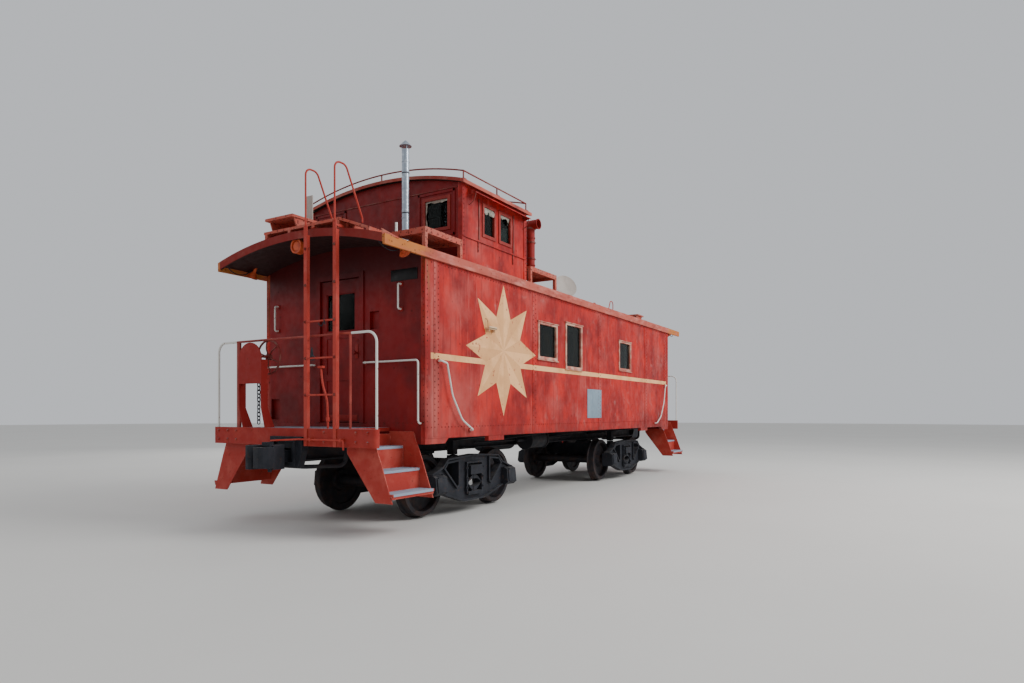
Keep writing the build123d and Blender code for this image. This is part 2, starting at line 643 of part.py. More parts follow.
def cupola_rail():
    """Low grab rail round the cupola roof, on six posts with square feet."""
    x0, x1 = CUPOLA_X0 + VISOR_THICKNESS, CUPOLA_X1 - VISOR_THICKNESS
    edge = CUPOLA_EAVE_HALF - CUPOLA_RAIL_INSET
    lift = CUPOLA_RAIL_LIFT
    radius = CUPOLA_RAIL_RADIUS
    z = cupola_height(edge)
    shape = rod((x0, -edge, z + lift), (x1, -edge, z + lift), radius)
    shape += rod((x0, edge, z + lift), (x1, edge, z + lift), radius)
    for x in (x0, x1):
        path = ThreePointArc((x, -edge, z + lift), (x, 0, CUPOLA_CROWN + lift), (x, edge, z + lift))
        shape += sweep(Plane(origin=path @ 0, z_dir=path % 0) * Circle(radius), path)
        shape += rod((x, 0, CUPOLA_EAVE), (x, 0, CUPOLA_CROWN + lift), radius)
    for y in (-edge, edge):
        for x in (x0, (x0 + x1) / 2, x1):
            shape += rod((x, y, CUPOLA_EAVE - lift), (x, y, z + lift), radius)
            foot = 3 * radius
            shape += block((x - foot, x + foot), (y - foot, y + foot), (CUPOLA_EAVE - lift, z + radius))
    return shape - under_arch(CUPOLA_RADIUS, CUPOLA_AXIS, (CUPOLA_X0 - lift, CUPOLA_X1 + lift))


def end_walk():
    """Roof boards at the ladder: a level platform, a sloping wing and a raised step."""
    x0 = -ROOF_END + WALK_END_SETBACK
    pitch = WALK_BOARD + WALK_BOARD_GAP
    x1 = x0 + 3 * pitch - WALK_BOARD_GAP
    under = WALK_TOP - WALK_THICKNESS
    half_bearer = WALK_THICKNESS * 0.7
    shape = None
    for number in range(3):
        board = block((x0 + number * pitch, x0 + number * pitch + WALK_BOARD), WALK_Y, (under, WALK_TOP))
        shape = board if shape is None else shape + board
    for y in WALK_BEARERS:
        shape += block((x0, x1), (y - half_bearer, y + half_bearer), (EAVE_HEIGHT, under))
    root, tip = WALK_Y[0], WALK_Y[0] - WING_REACH
    low = WALK_TOP - WING_DROP
    wing = [(root, WALK_TOP), (tip, low), (tip, low - WALK_THICKNESS), (root, under)]
    for number in range(2):
        shape += along_x(wing, (x0 + number * pitch, x0 + number * pitch + WALK_BOARD))
    foot = (EAVE_HEIGHT - ROOF_THICKNESS, low - WALK_THICKNESS / 2)
    shape += block((x0, x0 + 2 * pitch), (tip, tip + 2 * half_bearer), foot)
    top = WALK_TOP + RAISED_STEP_HEIGHT
    y0, y1 = RAISED_STEP
    x2 = x0 + RAISED_STEP_LENGTH
    shape += block((x0, x2), (y0, y1), (top - WALK_THICKNESS, top))
    for y in (y0, y1 - 2 * WALK_THICKNESS):
        leg = [(x0 + WALK_THICKNESS, top), (x2, top), (x2, WALK_TOP), (x0 + 3 * WALK_THICKNESS, WALK_TOP)]
        shape += along_y(leg, (y + WALK_THICKNESS / 2, y + WALK_THICKNESS))
    shape += block((x1 - WALK_THICKNESS, x2), (y0, y1), (EAVE_HEIGHT, WALK_TOP))
    return on_roof(shape)


def centre_walk(x):
    """Running board along the crown: three planks on cross bearers."""
    shape = None
    half = CENTRE_WALK_HALF
    for number in range(3):
        y = -half + number * CENTRE_PLANK_PITCH
        plank = block(x, (y, y + CENTRE_PLANK), (WALK_TOP - WALK_THICKNESS, WALK_TOP))
        shape = plank if shape is None else shape + plank
    count = max(1, round((x[1] - x[0]) / BEARER_SPACING))
    width = 2 * WALK_THICKNESS
    for number in range(count + 1):
        place = x[0] + (x[1] - x[0] - width) * number / count
        shape += block((place, place + width), (-half, half), (EAVE_HEIGHT, WALK_TOP - WALK_THICKNESS))
    return on_roof(shape)


def side_walk(x):
    """Lateral roof boards on the right: two planks with a fascia, on a bracket at each end."""
    edge = -HALF_WIDTH - SIDE_WALK_OUT
    inner = edge + SIDE_WALK_IN + SIDE_WALK_OUT
    middle = (edge + inner) / 2
    top = EAVE_HEIGHT + SIDE_WALK_RISE
    under = top - WALK_THICKNESS
    low = top - SIDE_WALK_FASCIA
    shape = block(x, (edge, middle - WALK_BOARD_GAP / 2), (under, top))
    shape += block(x, (middle + WALK_BOARD_GAP / 2, inner), (under, top))
    shape += block(x, (edge, edge + WALK_THICKNESS / 2), (low, top))
    width = 1.5 * WALK_THICKNESS
    for place in (x[0], x[1] - width):
        shape += block((place, place + width), (edge, inner), (low, under))
        shape += block((place, place + width), (edge, edge + width), (EAVE_HEIGHT, low))
    return on_roof(shape)


def stovepipe():
    """Galvanised stovepipe with a base flange, joint rings and a rain cap on three legs."""
    x, y = from_rear(STOVEPIPE_FROM_END), STOVEPIPE_Y
    radius = STOVEPIPE_RADIUS
    base = roof_height(y)
    mouth = ROOF_CROWN + STOVEPIPE_HEIGHT - 2.5 * radius
    shape = rod((x, y, EAVE_HEIGHT), (x, y, mouth), radius)
    shape += rod((x, y, EAVE_HEIGHT), (x, y, base + radius), 1.8 * radius)
    for share in (0.3, 0.6, 0.87):
        height = base + (mouth - base) * share
        shape += rod((x, y, height), (x, y, height + 3 * PIPE_WALL), radius + PIPE_WALL)
    shape -= rod((x, y, base + radius), (x, y, mouth), radius - PIPE_WALL)
    for number in range(3):
        angle = radians(120 * number)
        leg = (x + (radius - 1) * cos(angle), y + (radius - 1) * sin(angle))
        shape += rod((leg[0], leg[1], mouth - radius), (leg[0], leg[1], mouth + radius), PIPE_WALL)
    shape += Pos(x, y, mouth + 1.4 * radius) * Cone(1.75 * radius, 0.85 * radius, radius)
    shape += Pos(x, y, mouth + 2.2 * radius) * Cone(0.85 * radius, 0.2 * radius, 0.6 * radius)
    return on_roof(shape)


def vent_pipe():
    """Short vent pipe beside the stovepipe."""
    x, y = from_rear(STOVEPIPE_FROM_END - VENT_OFFSET), STOVEPIPE_Y
    pipe = rod((x, y, EAVE_HEIGHT), (x, y, ROOF_CROWN + VENT_HEIGHT), VENT_RADIUS)
    inner = VENT_RADIUS - PIPE_WALL
    return on_roof(pipe) - rod((x, y, ROOF_CROWN), (x, y, ROOF_CROWN + VENT_HEIGHT), inner)


def smoke_jack():
    """Smoke jack with joint rings and a cross pipe open at both ends."""
    x, y, radius = JACK_X, JACK_Y, JACK_RADIUS
    top = ROOF_CROWN + JACK_HEIGHT
    base = roof_height(y)
    ring = 2 * PIPE_WALL
    walk = EAVE_HEIGHT + SIDE_WALK_RISE
    shape = rod((x, y, walk), (x, y, top), radius)
    for height in (walk, walk + 12 * ring, top - 3.2 * radius):
        shape += rod((x, y, height), (x, y, height + 2 * ring), radius + ring)
    cross = JACK_CROSS_HALF
    shape += rod((x, y - cross, top), (x, y + cross, top), JACK_CROSS_RADIUS)
    for end in (-cross, cross - 2 * ring):
        shape += rod((x, y + end, top), (x, y + end + 2 * ring, top), JACK_CROSS_RADIUS + ring)
    shape -= rod((x, y - cross, top), (x, y + cross, top), JACK_CROSS_RADIUS - PIPE_WALL)
    return shape - rod((x, y, base + 4 * radius), (x, y, top), radius - PIPE_WALL)


def satellite_dish():
    """Round dish on a bent mast: a shallow shell that looks up and to the right."""
    x, y, z = from_rear(DISH_FROM_END), DISH_Y, ROOF_CROWN + DISH_LIFT
    depth = DISH_CURVE - sqrt(DISH_CURVE**2 - DISH_RADIUS**2)
    half, sag = DISH_RADIUS / 2, DISH_CURVE - sqrt(DISH_CURVE**2 - DISH_RADIUS**2 / 4)
    start = (VENT_RADIUS, 0, 0)
    outer = ThreePointArc(start, (half, 0, sag), (DISH_RADIUS, 0, depth))
    inner = Pos(0, 0, DISH_SHEET) * ThreePointArc((DISH_RADIUS, 0, depth), (half, 0, sag), start)
    rim = Line(outer @ 1, inner @ 0)
    boss = Polyline(inner @ 1, (0, 0, DISH_SHEET), (0, 0, 0), start)
    bowl = revolve(make_face([outer, rim, inner, boss]), Axis.Z, 360)
    tilted = Pos(x, y, z) * Rot(0, 0, -125) * Rot(0, 68, 0) * bowl
    behind = (x + 40.0, y + 55.0)
    mast_top = (x - 4.0, y - 6.0, z - 4.0)
    mast = bent_bar(
        [(behind[0], behind[1], EAVE_HEIGHT), (behind[0], behind[1], z - 30.0), mast_top], VENT_RADIUS, 25.0
    )
    foot = 4 * VENT_RADIUS
    base = roof_height(y) + VENT_RADIUS
    x_span, y_span = [(place - foot, place + foot) for place in behind]
    return on_roof(mast + block(x_span, y_span, (EAVE_HEIGHT, base))) + tilted


def panel_aerial():
    """Thin upright panel aerial on a foot behind the end roof boards."""
    x, y0, y1 = -ROOF_END + 500.0, 225.0, 335.0
    top = ROOF_CROWN + 620.0
    shape = block((x, x + 14.0), (y0, y1), (ROOF_CROWN - ROOF_THICKNESS, top))
    shape += block((x - WALK_THICKNESS, x + 1.5 * WALK_THICKNESS), (y0, y1), (EAVE_HEIGHT, ROOF_CROWN + 10.0))
    return on_roof(shape)


def eave_lamp():
    """Bell-shaped lamp under the right edge of the end roof, tilted outwards, with its bulb."""
    face = make_face(Polyline(*[(LAMP_MOUTH * r, 0, -LAMP_MOUTH * z) for r, z in LAMP_PROFILE], close=True))
    lamp = Rot(-LAMP_TILT, 0, 0) * revolve(face, Axis.Z, 360)
    y = -HALF_WIDTH + 2.05 * LAMP_MOUTH
    lamp = Pos(from_rear(-LAMP_FROM_END), y, ceiling_height(y) + 0.2 * LAMP_MOUTH) * lamp
    return under_roof(lamp)


def drum_lamp():
    """Round lamp behind the end fascia that faces outwards, hung on a short bracket."""
    x = -ROOF_END + FASCIA_THICKNESS
    z = ceiling_height(0) - 1.15 * DRUM_RADIUS
    shape = rod((x, 0, z), (x + DRUM_DEPTH, 0, z), DRUM_RADIUS)
    shape -= rod((x, 0, z), (x + 0.3 * DRUM_DEPTH, 0, z), 0.78 * DRUM_RADIUS)
    shape += rod((x + 0.15 * DRUM_DEPTH, 0, z), (x + DRUM_DEPTH, 0, z), 0.6 * DRUM_RADIUS)
    half = 0.2 * DRUM_DEPTH
    shape += block((x + 2 * half, x + 4 * half), (-half, half), (z + 0.8 * DRUM_RADIUS, ROOF_CROWN))
    return under_roof(shape)


def centre_sill():
    """Right centre sill: a deep web with a flange outwards at the bottom and inwards at the top."""
    outer, inner = -HALF_SILL, -HALF_SILL + SILL_PLATE
    bottom, top = SILL_BOTTOM, FRAME_DECK
    low, high = bottom + SILL_PLATE, top - SILL_PLATE
    outline = [(outer, low), (outer - SILL_FLANGE, low), (outer - SILL_FLANGE, bottom), (inner, bottom)]
    outline += [(inner, high), (inner + SILL_FLANGE, high), (inner + SILL_FLANGE, top), (outer, top)]
    end = PLATFORM_END - END_SILL_THICKNESS
    return along_x(outline, (-end, end))


def side_sill():
    """Right side sill inside the side wall."""
    end = HALF_LENGTH - WALL
    y = (-INNER_HALF, -INNER_HALF + SIDE_SILL_WIDTH)
    return block((-end, end), y, (FRAME_DECK - SIDE_SILL_DEPTH, FRAME_DECK))


def member_arm(x, member):
    """Right arm of a cross member, from the centre sill out to the side sill."""
    half, deep, shallow = member
    outer = -INNER_HALF + SIDE_SILL_WIDTH
    outline = [(outer, FRAME_DECK), (outer, FRAME_DECK - shallow)]
    outline += [(-HALF_SILL, FRAME_DECK - deep), (-HALF_SILL, FRAME_DECK)]
    return along_x(outline, (x - half, x + half))


def bolster_centre(x):
    """Filler between the centre sills over a truck, with the centre plate under it."""
    half = BOLSTER_MEMBER[0]
    inner = HALF_SILL - SILL_PLATE
    pad = CENTRE_PLATE_BOTTOM + CENTRE_PLATE_HEIGHT
    shape = block((x - half, x + half), (-inner, inner), (SILL_BOTTOM, FRAME_DECK - SILL_PLATE))
    shape += block((x - half, x + half), (-HALF_SILL, HALF_SILL), (pad, SILL_BOTTOM))
    return shape + rod((x, 0, CENTRE_PLATE_BOTTOM), (x, 0, pad), CENTRE_PLATE_RADIUS)


def bolster_arm(x):
    """Right arm of the body bolster with the pad that faces the truck's side bearing."""
    arm = member_arm(x, BOLSTER_MEMBER)
    half = SIDE_BEARING_HEIGHT
    pad = BOLSTER_TOP + SIDE_BEARING_HEIGHT + SIDE_BEARING_GAP
    y = (-SIDE_BEARING_Y - half, -SIDE_BEARING_Y + half)
    return arm + block((x - half, x + half), y, (pad, FRAME_DECK - SIDE_SILL_DEPTH))


def cross_members():
    """Body bolsters, cross bearers and end members between the sills."""
    shapes = []
    for x in (-TRUCK_X, TRUCK_X):
        shapes += [bolster_centre(x), bolster_arm(x), mirrored(bolster_arm(x))]
    end = HALF_LENGTH - WALL - END_MEMBER[0]
    for place, member in ((BEARER_X, BEARER_MEMBER), (end, END_MEMBER)):
        for x in (-place, place):
            shapes += [member_arm(x, member), mirrored(member_arm(x, member))]
    return group(*shapes)


def platform():
    """Rear platform: deck between the stairwells and the end sill with rounded corners."""
    outer = -PLATFORM_END
    back = outer + END_SILL_THICKNESS
    half = END_SILL_HALF
    bottom = PLATFORM_TOP - END_SILL_DEPTH
    deck = block((back, -HALF_LENGTH), (-STAIR_INNER, STAIR_INNER), (FRAME_DECK, PLATFORM_TOP))
    sill = block((outer, back), (-half, half), (bottom, PLATFORM_TOP))
    corners = sill.edges().filter_by(Axis.Z).filter_by(lambda edge: edge.center().X < outer + 1)
    sill = fillet(corners, END_SILL_CORNER)
    sill -= block((outer, back), (-NOTCH_HALF_WIDTH, NOTCH_HALF_WIDTH), (bottom, bottom + NOTCH_DEPTH))
    return deck + sill


def steps():
    """Steps at the right of the rear platform: two side plates, treads and risers."""
    outline = [(-STAIR_INNER - out, PLATFORM_TOP - drop) for out, drop in STAIR_OUTLINE]
    x0, x1 = -HALF_LENGTH - STAIR_LENGTH, -HALF_LENGTH
    plate = STAIR_PLATE
    stair = along_x(outline, (x0, x0 + plate)) + along_x(outline, (x1 - plate, x1))
    risers = [drop for drop, _, _ in TREADS[1:]] + [PLATFORM_THICKNESS]
    for (drop, front, back), above in zip(TREADS, risers):
        top = PLATFORM_TOP - drop
        under = top - TREAD_THICKNESS
        nosing = -STAIR_INNER - front
        riser = -STAIR_INNER - back
        stair += block((x0, x1), (nosing, riser), (under, top))
        lip = (nosing + TREAD_RISER, nosing + 2 * TREAD_RISER)
        stair += block((x0, x1), lip, (under - TREAD_THICKNESS, under))
        meets = PLATFORM_TOP - above - TREAD_THICKNESS
        stair += block((x0, x1), (riser - TREAD_RISER, riser), (under, meets))
    return stair


def end_railing():
    """Top rail with a hooped grab handle over each flight of steps, and two posts."""
    x, foot, top = RAIL_X, PLATFORM_TOP, PLATFORM_TOP + RAIL_HEIGHT
    loop = HALF_WIDTH - LOOP_INSET
    points = [(x, -loop, foot), (x, -loop, top), (x, loop, top), (x, loop, foot)]
    rail = bent_bar(points, RAIL_RADIUS, RAIL_BEND)
    rail += rod((x, -RAIL_POST_Y, foot), (x, -RAIL_POST_Y, top), RAIL_RADIUS)
    half, thickness = POST_WIDTH / 2, POST_THICKNESS
    post_x = (x - thickness / 2, x + thickness / 2)
    rail += block(post_x, (RAIL_POST_Y - half, RAIL_POST_Y + half), (foot, top))
    web_x = (post_x[0], post_x[0] + POST_WIDTH)
    return rail + block(web_x, (RAIL_POST_Y + half - thickness, RAIL_POST_Y + half), (foot, top))


def ladder():
    """Ladder on the end sill: two stiles, rungs, braces to the roof and hooped handholds."""
    half = STILE_THICKNESS / 2
    x = LADDER_X
    top = ROOF_CROWN
    foot = PLATFORM_TOP - END_SILL_DEPTH
    roof_x = -ROOF_END + FASCIA_THICKNESS
    shape = None
    for y, width, depth in LADDER_STILES:
        y0, y1 = y - width / 2, y + width / 2
        stile = block((x - half, x + half), (y0, y1), (foot, top))
        stile += block((x, x + depth), (y0, y0 + STILE_THICKNESS), (PLATFORM_TOP, top - 2 * width))
        brace_z = roof_height(y) + WALK_THICKNESS
        brace = [(x, top - width), (x, top - width + STILE_THICKNESS), (roof_x, brace_z)]
        brace.append((roof_x, brace_z - 2 * WALK_THICKNESS))
        stile += on_roof(along_y(brace, (y - RUNG_RADIUS, y + RUNG_RADIUS)))
        shape = stile if shape is None else shape + stile
    places = [y for y, _, _ in LADDER_STILES]
    for height in LADDER_RUNGS:
        z = PLATFORM_TOP + height
        shape += rod((x, places[0], z), (x, places[1], z), RUNG_RADIUS)
    hoop = top + HOOP_HEIGHT
    landing = -ROOF_END + WALK_END_SETBACK + 2.5 * WALK_BOARD
    for y in places:
        points = [(x, y, top - STILE_THICKNESS), (x, y, hoop), (x + HOOP_REACH, y, hoop)]
        points += [(landing, y, WALK_TOP + HOOP_FOOT), (landing, y, WALK_TOP)]
        shape += bent_bar(points, RUNG_RADIUS, [HOOP_BEND, HOOP_BEND, HOOP_FOOT])
    return shape


def brake_stand():
    """Brake stand: arched front plate on two legs that sweep back to the platform, with its drum."""
    y0, y1 = STAND_Y
    half, middle = (y1 - y0) / 2, (y0 + y1) / 2
    front, back = STAND_FRONT, STAND_FRONT + STAND_PLATE
    _, depth, arch = STAND_LEG_SECTIONS[0]
    plate_low = PLATFORM_TOP + STAND_LEG_SECTIONS[1][2]
    shape = block((front, back), (y0, y1), (plate_low, PLATFORM_TOP + arch))
    shape += rod((front, middle, PLATFORM_TOP + arch), (back, middle, PLATFORM_TOP + arch), half)
    fronts = [(front + near, PLATFORM_TOP + height) for near, _, height in STAND_LEG_SECTIONS]
    backs = [(front + far, PLATFORM_TOP + height) for _, far, height in reversed(STAND_LEG_SECTIONS)]
    for side in (y0, y1 - STAND_LEG):
        shape += along_y(fronts + backs, (side, side + STAND_LEG))
    hub = PLATFORM_TOP + BRAKE_WHEEL_HEIGHT
    shape += rod((back, middle, hub), (front + depth, middle, hub), 4 * STAND_LEG)
    drum = plate_low + 2 * STAND_LEG
    return shape + rod((front + depth / 2, y0, drum), (front + depth / 2, y1, drum), 1.5 * STAND_LEG)


def brake_wheel():
    """Hand brake wheel with six dished spokes on its shaft, on the body side of the stand."""
    x = -PLATFORM_END + BRAKE_WHEEL_SETBACK
    y = (STAND_Y[0] + STAND_Y[1]) / 2
    z = PLATFORM_TOP + BRAKE_WHEEL_HEIGHT
    rim = BRAKE_WHEEL_RIM
    centre = Pos(x, y, z) * Rot(0, 90, 0)
    shape = centre * Torus(BRAKE_WHEEL_RADIUS, rim) + centre * Cylinder(3 * rim, 4 * rim)
    for number in range(6):
        angle = radians(60 * number + 20)
        across, up = cos(angle), sin(angle)
        knee = BRAKE_WHEEL_RADIUS / 2
        tip = BRAKE_WHEEL_RADIUS
        points = [(x, y, z), (x - 2 * rim, y + knee * across, z + knee * up)]
        points.append((x, y + tip * across, z + tip * up))
        shape += bent_bar(points, 0.7 * rim, tip / 2)
    return shape + rod((x, y, z), (STAND_FRONT + STAND_LEG_SECTIONS[0][1], y, z), 1.2 * rim)


def coupler_casting(outline, half_height):
    """Coupler outline of (reach, side) points as an upright prism with softened corners."""
    bottom = COUPLER_HEIGHT - half_height
    face = make_face(Polyline(*[(-PLATFORM_END - reach, y, bottom) for reach, y in outline], close=True))
    return extrude(fillet(face.vertices(), CASTING_CORNER), amount=2 * half_height, dir=(0, 0, 1))


def coupler():
    """Knuckle coupler: shank, head with its guard arm, knuckle with its pin, and lock lifter."""
    x, z = -PLATFORM_END, COUPLER_HEIGHT
    shank_z = (z - SHANK_HALF_HEIGHT, z + SHANK_HALF_HEIGHT)
    shape = block((x - 130, x + 400), (-SHANK_HALF_WIDTH, SHANK_HALF_WIDTH), shank_z)
    shape += coupler_casting(COUPLER_HEAD, HEAD_HALF_HEIGHT)
    shape += coupler_casting(COUPLER_KNUCKLE, KNUCKLE_HALF_HEIGHT)
    pin_x, pin_y = x - 345, -115
    shape += rod((pin_x, pin_y, z - HEAD_HALF_HEIGHT - 25), (pin_x, pin_y, z + HEAD_HALF_HEIGHT + 20), 24)
    lifter = (z + HEAD_HALF_HEIGHT - 10, z + HEAD_HALF_HEIGHT + 35)
    return shape + block((x - 330, x - 250), (-45, 45), lifter)


def draft_gear():
    """Striker casting round the coupler's shank, with its carrier iron and ribs."""
    x, z = -PLATFORM_END, COUPLER_HEIGHT
    low = z - SHANK_HALF_HEIGHT
    high = PLATFORM_TOP - END_SILL_DEPTH + NOTCH_DEPTH
    narrow, wide = 0.74 * NOTCH_HALF_WIDTH, 0.95 * NOTCH_HALF_WIDTH
    depth = 60.0
    right_edge = [(-wide, high), (-wide, z + depth), (-narrow, low - depth)]
    outline = right_edge + [(-y, z) for y, z in reversed(right_edge)]
    face = (x - 25.0, x + END_SILL_THICKNESS)
    proud = (x - depth, face[0])
    casting = along_x(outline, face)
    casting += block(proud, (-0.6 * wide, 0.6 * wide), (low - 0.75 * depth, low))
    casting += block(proud, (-0.6 * wide, 0.6 * wide), (high - depth, high - depth / 2))
    for side in (-1, 1):
        y = sorted((side * 0.6 * wide, side * 0.7 * wide))
        casting += block(proud, y, (low - 0.75 * depth, high - depth / 2))
    clearance = 25.0
    y = (-SHANK_HALF_WIDTH - clearance, SHANK_HALF_WIDTH + clearance)
    return casting - block((x - 2 * depth, face[1]), y, (low, z + SHANK_HALF_HEIGHT + clearance))


def uncoupling_lever():
    """Uncoupling lever across the right of the end sill, in two brackets."""
    x = -PLATFORM_END - LEVER_STANDOFF
    z = PLATFORM_TOP - LEVER_DROP
    handle = -HALF_WIDTH + 450.0
    top = COUPLER_HEIGHT + HEAD_HALF_HEIGHT + 50.0
    points = [(x, handle, z - 110), (x, handle, z), (x, -230, z), (x - 220, -20, top)]
    lever = bent_bar(points, LEVER_RADIUS, [35, 20])
    half = 14.0
    for y in (handle + 40, -NOTCH_HALF_WIDTH - 150):
        bracket = block((x - half, -PLATFORM_END), (y - half, y + half), (z - 1.5 * half, z + 1.5 * half))
        lever += bracket
    return lever


def train_pipe():
    """Air brake pipe that crosses under the coupler and bends back under the platform."""
    front, back = -PLATFORM_END + 130.0, -PLATFORM_END + 550.0
    left, right, far = 430.0, -150.0, -420.0
    z = SILL_BOTTOM - 70.0
    points = [(front, left, FRAME_DECK), (front, left, z), (front, right, z)]
    points += [(back, far, z), (back, far, FRAME_DECK)]
    pipe = bent_bar(points, TRAIN_PIPE_RADIUS, 90)
    for x, y in ((front, left), (back, far)):
        pipe += rod((x, y, FRAME_DECK - TRAIN_PIPE_RADIUS), (x, y, FRAME_DECK), 1.5 * TRAIN_PIPE_RADIUS)
    return pipe


def side_grab():
    """Curved grab rail at the rear of the right side, sweeping down to the skirt."""
    wall = -HALF_WIDTH
    y = wall - GRAB_STANDOFF
    top, low = 2060.0, 1190.0
    x = from_rear(250.0)
    points = [
        (x, wall, top), (x, y, top), (x + 110, y, top - 25), (x + 220, y, 1640), (x + 430, y, 1330),
        (x + 690, y, low), (x + 690, wall, low),
    ]
    return bent_bar(points, GRAB_RADIUS, [25, 30, 260, 260, 30])


def end_grabs():
    """Grab rails of the rear end wall: two L rails and two short upright ones."""
    wall = -HALF_LENGTH
    x = wall - GRAB_STANDOFF
    top, low = CABIN_FLOOR_TOP + 765, CABIN_FLOOR_TOP
    edge, beside = HALF_WIDTH - 60, CASING_WIDTH + 30
    bars = []
    for inner, outer in ((DOORWAY_Y[0] - beside, -edge), (DOORWAY_Y[1] + beside, edge)):
        corner = [(wall, inner, top), (x, inner, top), (x, outer, top)]
        bars.append(bent_bar(corner + [(x, outer, low), (wall, outer, low)], GRAB_RADIUS, 40))
    for y, z0, z1 in ((-1050, 1405, 1715), (1180, 1270, 1610)):
        low, high = CABIN_FLOOR_TOP + z0, CABIN_FLOOR_TOP + z1
        bars.append(bent_bar([(wall, y, low), (x, y, low), (x, y, high), (wall, y, high)], GRAB_RADIUS, 25))
    return group(*bars)


def wheel():
    """Flanged wheel at the left end of an axle that lies along Y through the origin."""
    back = WHEEL_BACK
    front = back + WHEEL_WIDTH
    flange = WHEEL_RADIUS + FLANGE_HEIGHT
    rim = WHEEL_RADIUS - RIM_DEPTH
    profile = [
        (back, AXLE_RADIUS), (back, HUB_RADIUS), (back + 42, HUB_RADIUS + 22), (back + 26, rim - 14),
        (back, rim), (back, flange - 9), (back + 8, flange), (back + 18, flange),
        (back + FLANGE_WIDTH, WHEEL_RADIUS), (front - 6, WHEEL_RADIUS - 6), (front, WHEEL_RADIUS - 12),
        (front, rim), (back + 60, rim - 14), (back + 76, HUB_RADIUS + 22),
        (front + HUB_PROUD, HUB_RADIUS), (front + HUB_PROUD, AXLE_RADIUS),
    ]
    face = make_face(Polyline(*[(0, y, r) for y, r in profile], close=True))
    return revolve(face, Axis.Y, 360)


def axle():
    """Axle with its thinner journals, lying along Y through the origin."""
    seat = WHEEL_BACK + WHEEL_WIDTH + HUB_PROUD + 10
    end = JOURNAL_CENTRE + JOURNAL_HALF
    return rod((0, -seat, 0), (0, seat, 0), AXLE_RADIUS) + rod((0, -end, 0), (0, end, 0), JOURNAL_RADIUS)


def frame_face():
    """Side frame in profile: arms out to the journals, a deep trough and three windows."""
    top, bottom = AXLE_HEIGHT + 376, AXLE_HEIGHT - 269
    seat, high = SPRING_SEAT, AXLE_HEIGHT + WINDOW_TOP
    arm = HALF_BASE + 121
    half = [
        (HALF_BASE - 249, top - 25), (HALF_BASE - 129, AXLE_HEIGHT + 246), (arm, AXLE_HEIGHT + 156),
        (arm, AXLE_HEIGHT - 114), (HALF_BASE - 89, AXLE_HEIGHT - 114), (WINDOW_HALF + 95, bottom),
    ]
    outline = [(0, top + 10)] + half + [(-x, z) for x, z in reversed(half)]
    post = WINDOW_HALF + 225
    side = [
        (post, high + 45), (HALF_BASE - 249, high + 25), (HALF_BASE - 189, AXLE_HEIGHT + 216),
        (post + 30, seat + 100), (post, seat + 120),
    ]
    centre = [(-WINDOW_HALF, seat), (WINDOW_HALF, seat), (WINDOW_HALF, high), (-WINDOW_HALF, high)]
    y = -JOURNAL_CENTRE - FRAME_RIM / 2
    face = face_xz(outline, y)
    for window in (centre, side, [(-x, z) for x, z in side]):
        face -= face_xz(window, y)
    return face


def side_frame():
    """Cast side frame of the right side of a truck: a web in a raised rim, with journal boxes."""
    middle = -JOURNAL_CENTRE
    face = frame_face()
    casting = extrude(face, amount=FRAME_RIM, dir=(0, 1, 0))
    pocket = offset(face, amount=-FRAME_RIM_WIDTH, kind=Kind.INTERSECTION)
    depth = (FRAME_RIM - FRAME_WEB) / 2
    casting -= extrude(pocket, amount=depth, dir=(0, 1, 0))
    casting -= Pos(0, FRAME_RIM, 0) * extrude(pocket, amount=depth, dir=(0, -1, 0))
    casting += block(
        (-WINDOW_HALF, WINDOW_HALF), (middle - FRAME_RIM * 0.6, middle + FRAME_RIM * 0.6),
        (SPRING_SEAT - FRAME_WEB, SPRING_SEAT),
    )
    bore = JOURNAL_RADIUS + JOURNAL_CLEARANCE
    for x in (-HALF_BASE, HALF_BASE):
        section = [(middle - out, AXLE_HEIGHT + rise) for out, rise in JOURNAL_BOX]
        casting += along_x(section, (x - JOURNAL_BOX_HALF, x + JOURNAL_BOX_HALF))
        inner = middle + FRAME_RIM
        outer = middle - JOURNAL_HALF - JOURNAL_END_GAP
        casting -= rod((x, outer, AXLE_HEIGHT), (x, inner, AXLE_HEIGHT), bore)
    return casting


def truck_bolster():
    """Bolster between the side frames with its bowl, side bearings and spring seats."""
    half, seat_out, seat_in = BOLSTER_HALF_WIDTH, JOURNAL_CENTRE + 95, JOURNAL_CENTRE - 105
    top = BOLSTER_TOP - 5
    left_half = [(700, SPRING_TOP - 45), (seat_in, SPRING_TOP), (seat_out, SPRING_TOP)]
    left_half += [(seat_out, top - 68), (800, top - 50), (400, top)]
    outline = left_half + [(-y, z) for y, z in reversed(left_half)]
    shape = along_x(outline, (-half, half))
    bowl = CENTRE_PLATE_RADIUS + BOWL_CLEARANCE
    lip = BOWL_FLOOR + BOWL_LIP
    shape += rod((0, 0, top - BOWL_LIP), (0, 0, lip), bowl + BOWL_WALL)
    shape -= rod((0, 0, BOWL_FLOOR), (0, 0, lip), bowl)
    pad = half / 2
    for y in (-SIDE_BEARING_Y, SIDE_BEARING_Y):
        shape += block((-pad, pad), (y - 45, y + 45), (top - 50, BOLSTER_TOP + SIDE_BEARING_HEIGHT))
    return shape


